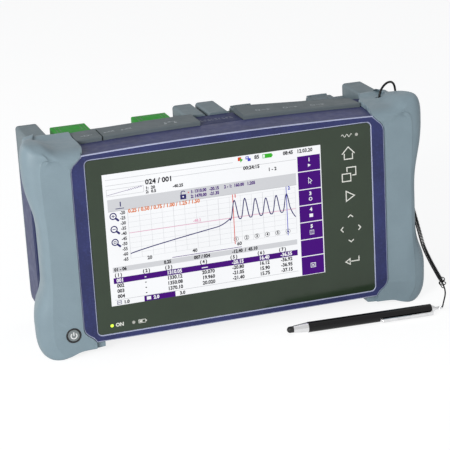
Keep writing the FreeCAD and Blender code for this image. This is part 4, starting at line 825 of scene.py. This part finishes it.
def power_symbol():
    low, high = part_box("power_button")
    x, z = (low[0] + high[0]) / 2 / MM, (low[2] + high[2]) / 2 / MM
    art = Print("power_symbol", low[1] / MM, body="power_button_body")
    arc = [(x + 2.0 * math.sin(math.radians(turn)), z - 0.1 + 2.0 * math.cos(math.radians(turn)))
           for turn in range(40, 321, 14)]
    art.line("symbol", 0, 0.75, arc)
    art.line("symbol", 0, 0.75, [(x, z - 0.2), (x, z + 2.5)])
    return art.make()


def cap_frames():
    """A raised double frame on top of each port cap."""
    for side in ("left", "right"):
        for place in ("inner", "outer"):
            name = f"{side}_port_cap_{place}"
            low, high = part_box(name)
            x0, x1 = low[0] / MM + 2.6, high[0] / MM - 2.6
            y0, y1 = low[1] / MM + 3.0, high[1] / MM - 6.0
            art = Print(f"{name}_frame", high[2] / MM + 2, body=f"{name}_body", onto=name)
            tone = "cap_line" if side == "left" else "grey_line"
            for inset in (0.0, 2.6):
                art.line(tone, 0, 0.7, [
                    (x0 + inset + 1.2, y0 + inset), (x1 - inset - 1.2, y0 + inset),
                    (x1 - inset, y0 + inset + 1.2), (x1 - inset, y1 - inset - 1.2),
                    (x1 - inset - 1.2, y1 - inset), (x0 + inset + 1.2, y1 - inset),
                    (x0 + inset, y1 - inset - 1.2), (x0 + inset, y0 + inset + 1.2)], closed=True)
            art.make()


def flap_marks():
    """Faint marks moulded on the flaps: a plug, a network tree, bars and a light beam."""
    power = Print("power_flap_marks", OVER_THE_ROOF, body="power_flap_body", onto="power_flap")
    power.line("mark", 0, 0.45, dot(-89.3, -5.6, 1.5, 14), closed=True)
    power.line("mark", 0, 0.5, [(-93.2, -5.6), (-90.8, -5.6)])
    power.line("mark", 0, 0.5, [(-87.8, -5.6), (-85.2, -5.6)])
    power.make()
    data = Print("data_flap_marks", OVER_THE_ROOF, body="data_flap_body", onto="data_flap")
    for start in (-73.5, -61.5):
        data.line("mark", 0, 0.45, [(start - 3, -5.6), (start + 4, -5.6)])
        data.line("mark", 0, 0.45, [(start - 1, -5.6), (start + 1, -3.8), (start + 3, -3.8)])
        data.fill("mark", 0, dot(start - 3, -5.6, 0.8, 12), dot(start + 3, -3.8, 0.6, 12))
    data.line("mark", 0, 0.45, [(-31, -3.8), (-34.5, -3.8), (-34.5, -7.2)])
    data.line("mark", 0, 0.45, [(-31, -3.8), (-27.5, -3.8), (-27.5, -7.2)])
    data.fill("mark", 0, oblong(-32, -4.6, -30, -3.0), oblong(-35.4, -8.0, -33.6, -6.6),
              oblong(-28.4, -8.0, -26.6, -6.6))
    data.make()
    fibre = Print("fibre_flap_marks", OVER_THE_ROOF, body="fibre_flap_body", onto="fibre_flap")
    for x in (32, 52, 72):
        fibre.line("mark", 0, 0.45, dot(x, -5.2, 1.5, 14), closed=True)
        fibre.line("mark", 0, 0.45, [(x + 2.6, -5.2), (x + 8.4, -5.2)])
        fibre.line("mark", 0, 0.45, [(x + 6.6, -4.0), (x + 8.4, -5.2), (x + 6.6, -6.4)])
    fibre.make()
    roof = Print("roof_marks", OVER_THE_ROOF, onto="rear_shell")
    for index in range(9):
        x = -9.0 + 2.6 * index
        roof.line("mark", 0, 0.5, [(x, -2.6), (x + (1.7 if index % 3 else 0.9), -2.6)])
        roof.line("mark", 0, 0.4, [(x, -5.2), (x + (1.2 if index % 2 else 1.9), -5.2)])
    roof.make()


def small_parts():
    """The ball at the end of the stylus clip, and the knot where the thread meets the tether."""
    low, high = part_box("stylus_clip")
    ball = bmesh.new()
    bmesh.ops.create_uvsphere(ball, u_segments=20, v_segments=12, radius=1.55 * MM)
    for vertex in ball.verts:
        vertex.co.z *= 0.9
    bmesh.ops.translate(ball, verts=ball.verts, vec=(low[0] + 1.0 * MM, low[1] + 4.2 * MM, 2.2 * MM))
    mesh = bpy.data.meshes.new("clip_ball")
    ball.to_mesh(mesh)
    ball.free()
    for face in mesh.polygons:
        face.use_smooth = True
    mesh.materials.append(LOOKS["bright"].material)
    thing = bpy.data.objects.new("clip_ball", mesh)
    COLLECTION.objects.link(thing)
    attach(thing, "unit")
    end = Vector(TETHER_ROUTE[-1])
    turns = []
    for k in range(64):
        angle = math.tau * k / 21
        turns.append(end + Vector((
            (1.7 + 0.5 * math.sin(0.9 * k)) * math.cos(angle),
            1.5 * math.sin(1.37 * angle),
            1.8 * math.sin(angle) - 0.06 * k + 1.6)))
    knot = spline("tether_knot", turns, 0.33)
    knot.data.resolution_u = 2
    knot.data.materials.append(LOOKS["cord"].material)
    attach(knot, "unit")


LOOKS["cap_line"] = moulded("cap_frame", (0.001, 0.10, 0.003), 0.4, 0.3, 0.01, 0.1)
LOOKS["grey_line"] = moulded("cap_frame_grey", (0.08, 0.10, 0.11), 0.5, 0.3, 0.01, 0.1)
LOOKS["mark"] = moulded("moulded_mark", (0.42, 0.46, 0.48), 0.5, 0.3, 0.01, 0.06)
screen()
panel_printing()
power_symbol()
cap_frames()
flap_marks()
small_parts()


# ---------------------------------------------------------------- soft edges

def soften(name, width, angle=32, segments=2, edge=None, curved=False, clamp=True):
    """Round a rigid node's sharp edges by width millimetres, and put the look named edge, a painted
    highlight colour, on the bevel faces.
    """
    thing = NODES[name]
    weld = thing.modifiers.new("weld", "WELD")
    weld.merge_threshold = 1e-6
    if not curved:
        flat = thing.modifiers.new("flat", "DECIMATE")
        flat.decimate_type = "DISSOLVE"
        flat.angle_limit = math.radians(0.5)
    bevel = thing.modifiers.new("bevel", "BEVEL")
    bevel.width = width * MM
    bevel.segments = segments
    bevel.limit_method = "ANGLE"
    bevel.angle_limit = math.radians(angle)
    bevel.use_clamp_overlap = clamp
    # The edge look is a painted highlight colour on the bevel faces.
    if edge:
        thing.data.materials.append(LOOKS[edge].material)
        bevel.material = 1
    normals = thing.modifiers.new("normals", "WEIGHTED_NORMAL")
    normals.weight = 80
    for face in thing.data.polygons:
        face.use_smooth = True


SOFT_EDGES = {
    0.6: ["left_module_case", "right_module_case"],
    0.45: ["left_module_cover", "right_module_cover", "module_carrier", "rear_shell",
           "flap_hinge_strips", "left_port_cap_inner", "left_port_cap_outer",
           "right_port_cap_inner", "right_port_cap_outer", "power_flap", "data_flap",
           "fibre_flap"],
    0.25: ["left_port_adapters", "right_port_adapters", "battery_door", "power_button_ring",
           "power_button"],
}
for width, names in SOFT_EDGES.items():
    for name in names:
        soften(name, width)
# The front shell's bevel faces get the pale painted highlight colour.
soften("front_shell", 0.75, segments=3, edge="case_edge_highlight", clamp=False)
# The bumpers' bevelled lips get the near-white painted highlight colour.
for name in ("left_bumper", "right_bumper"):
    soften(name, 0.7, angle=48, edge="rubber_lip_highlight", curved=True)
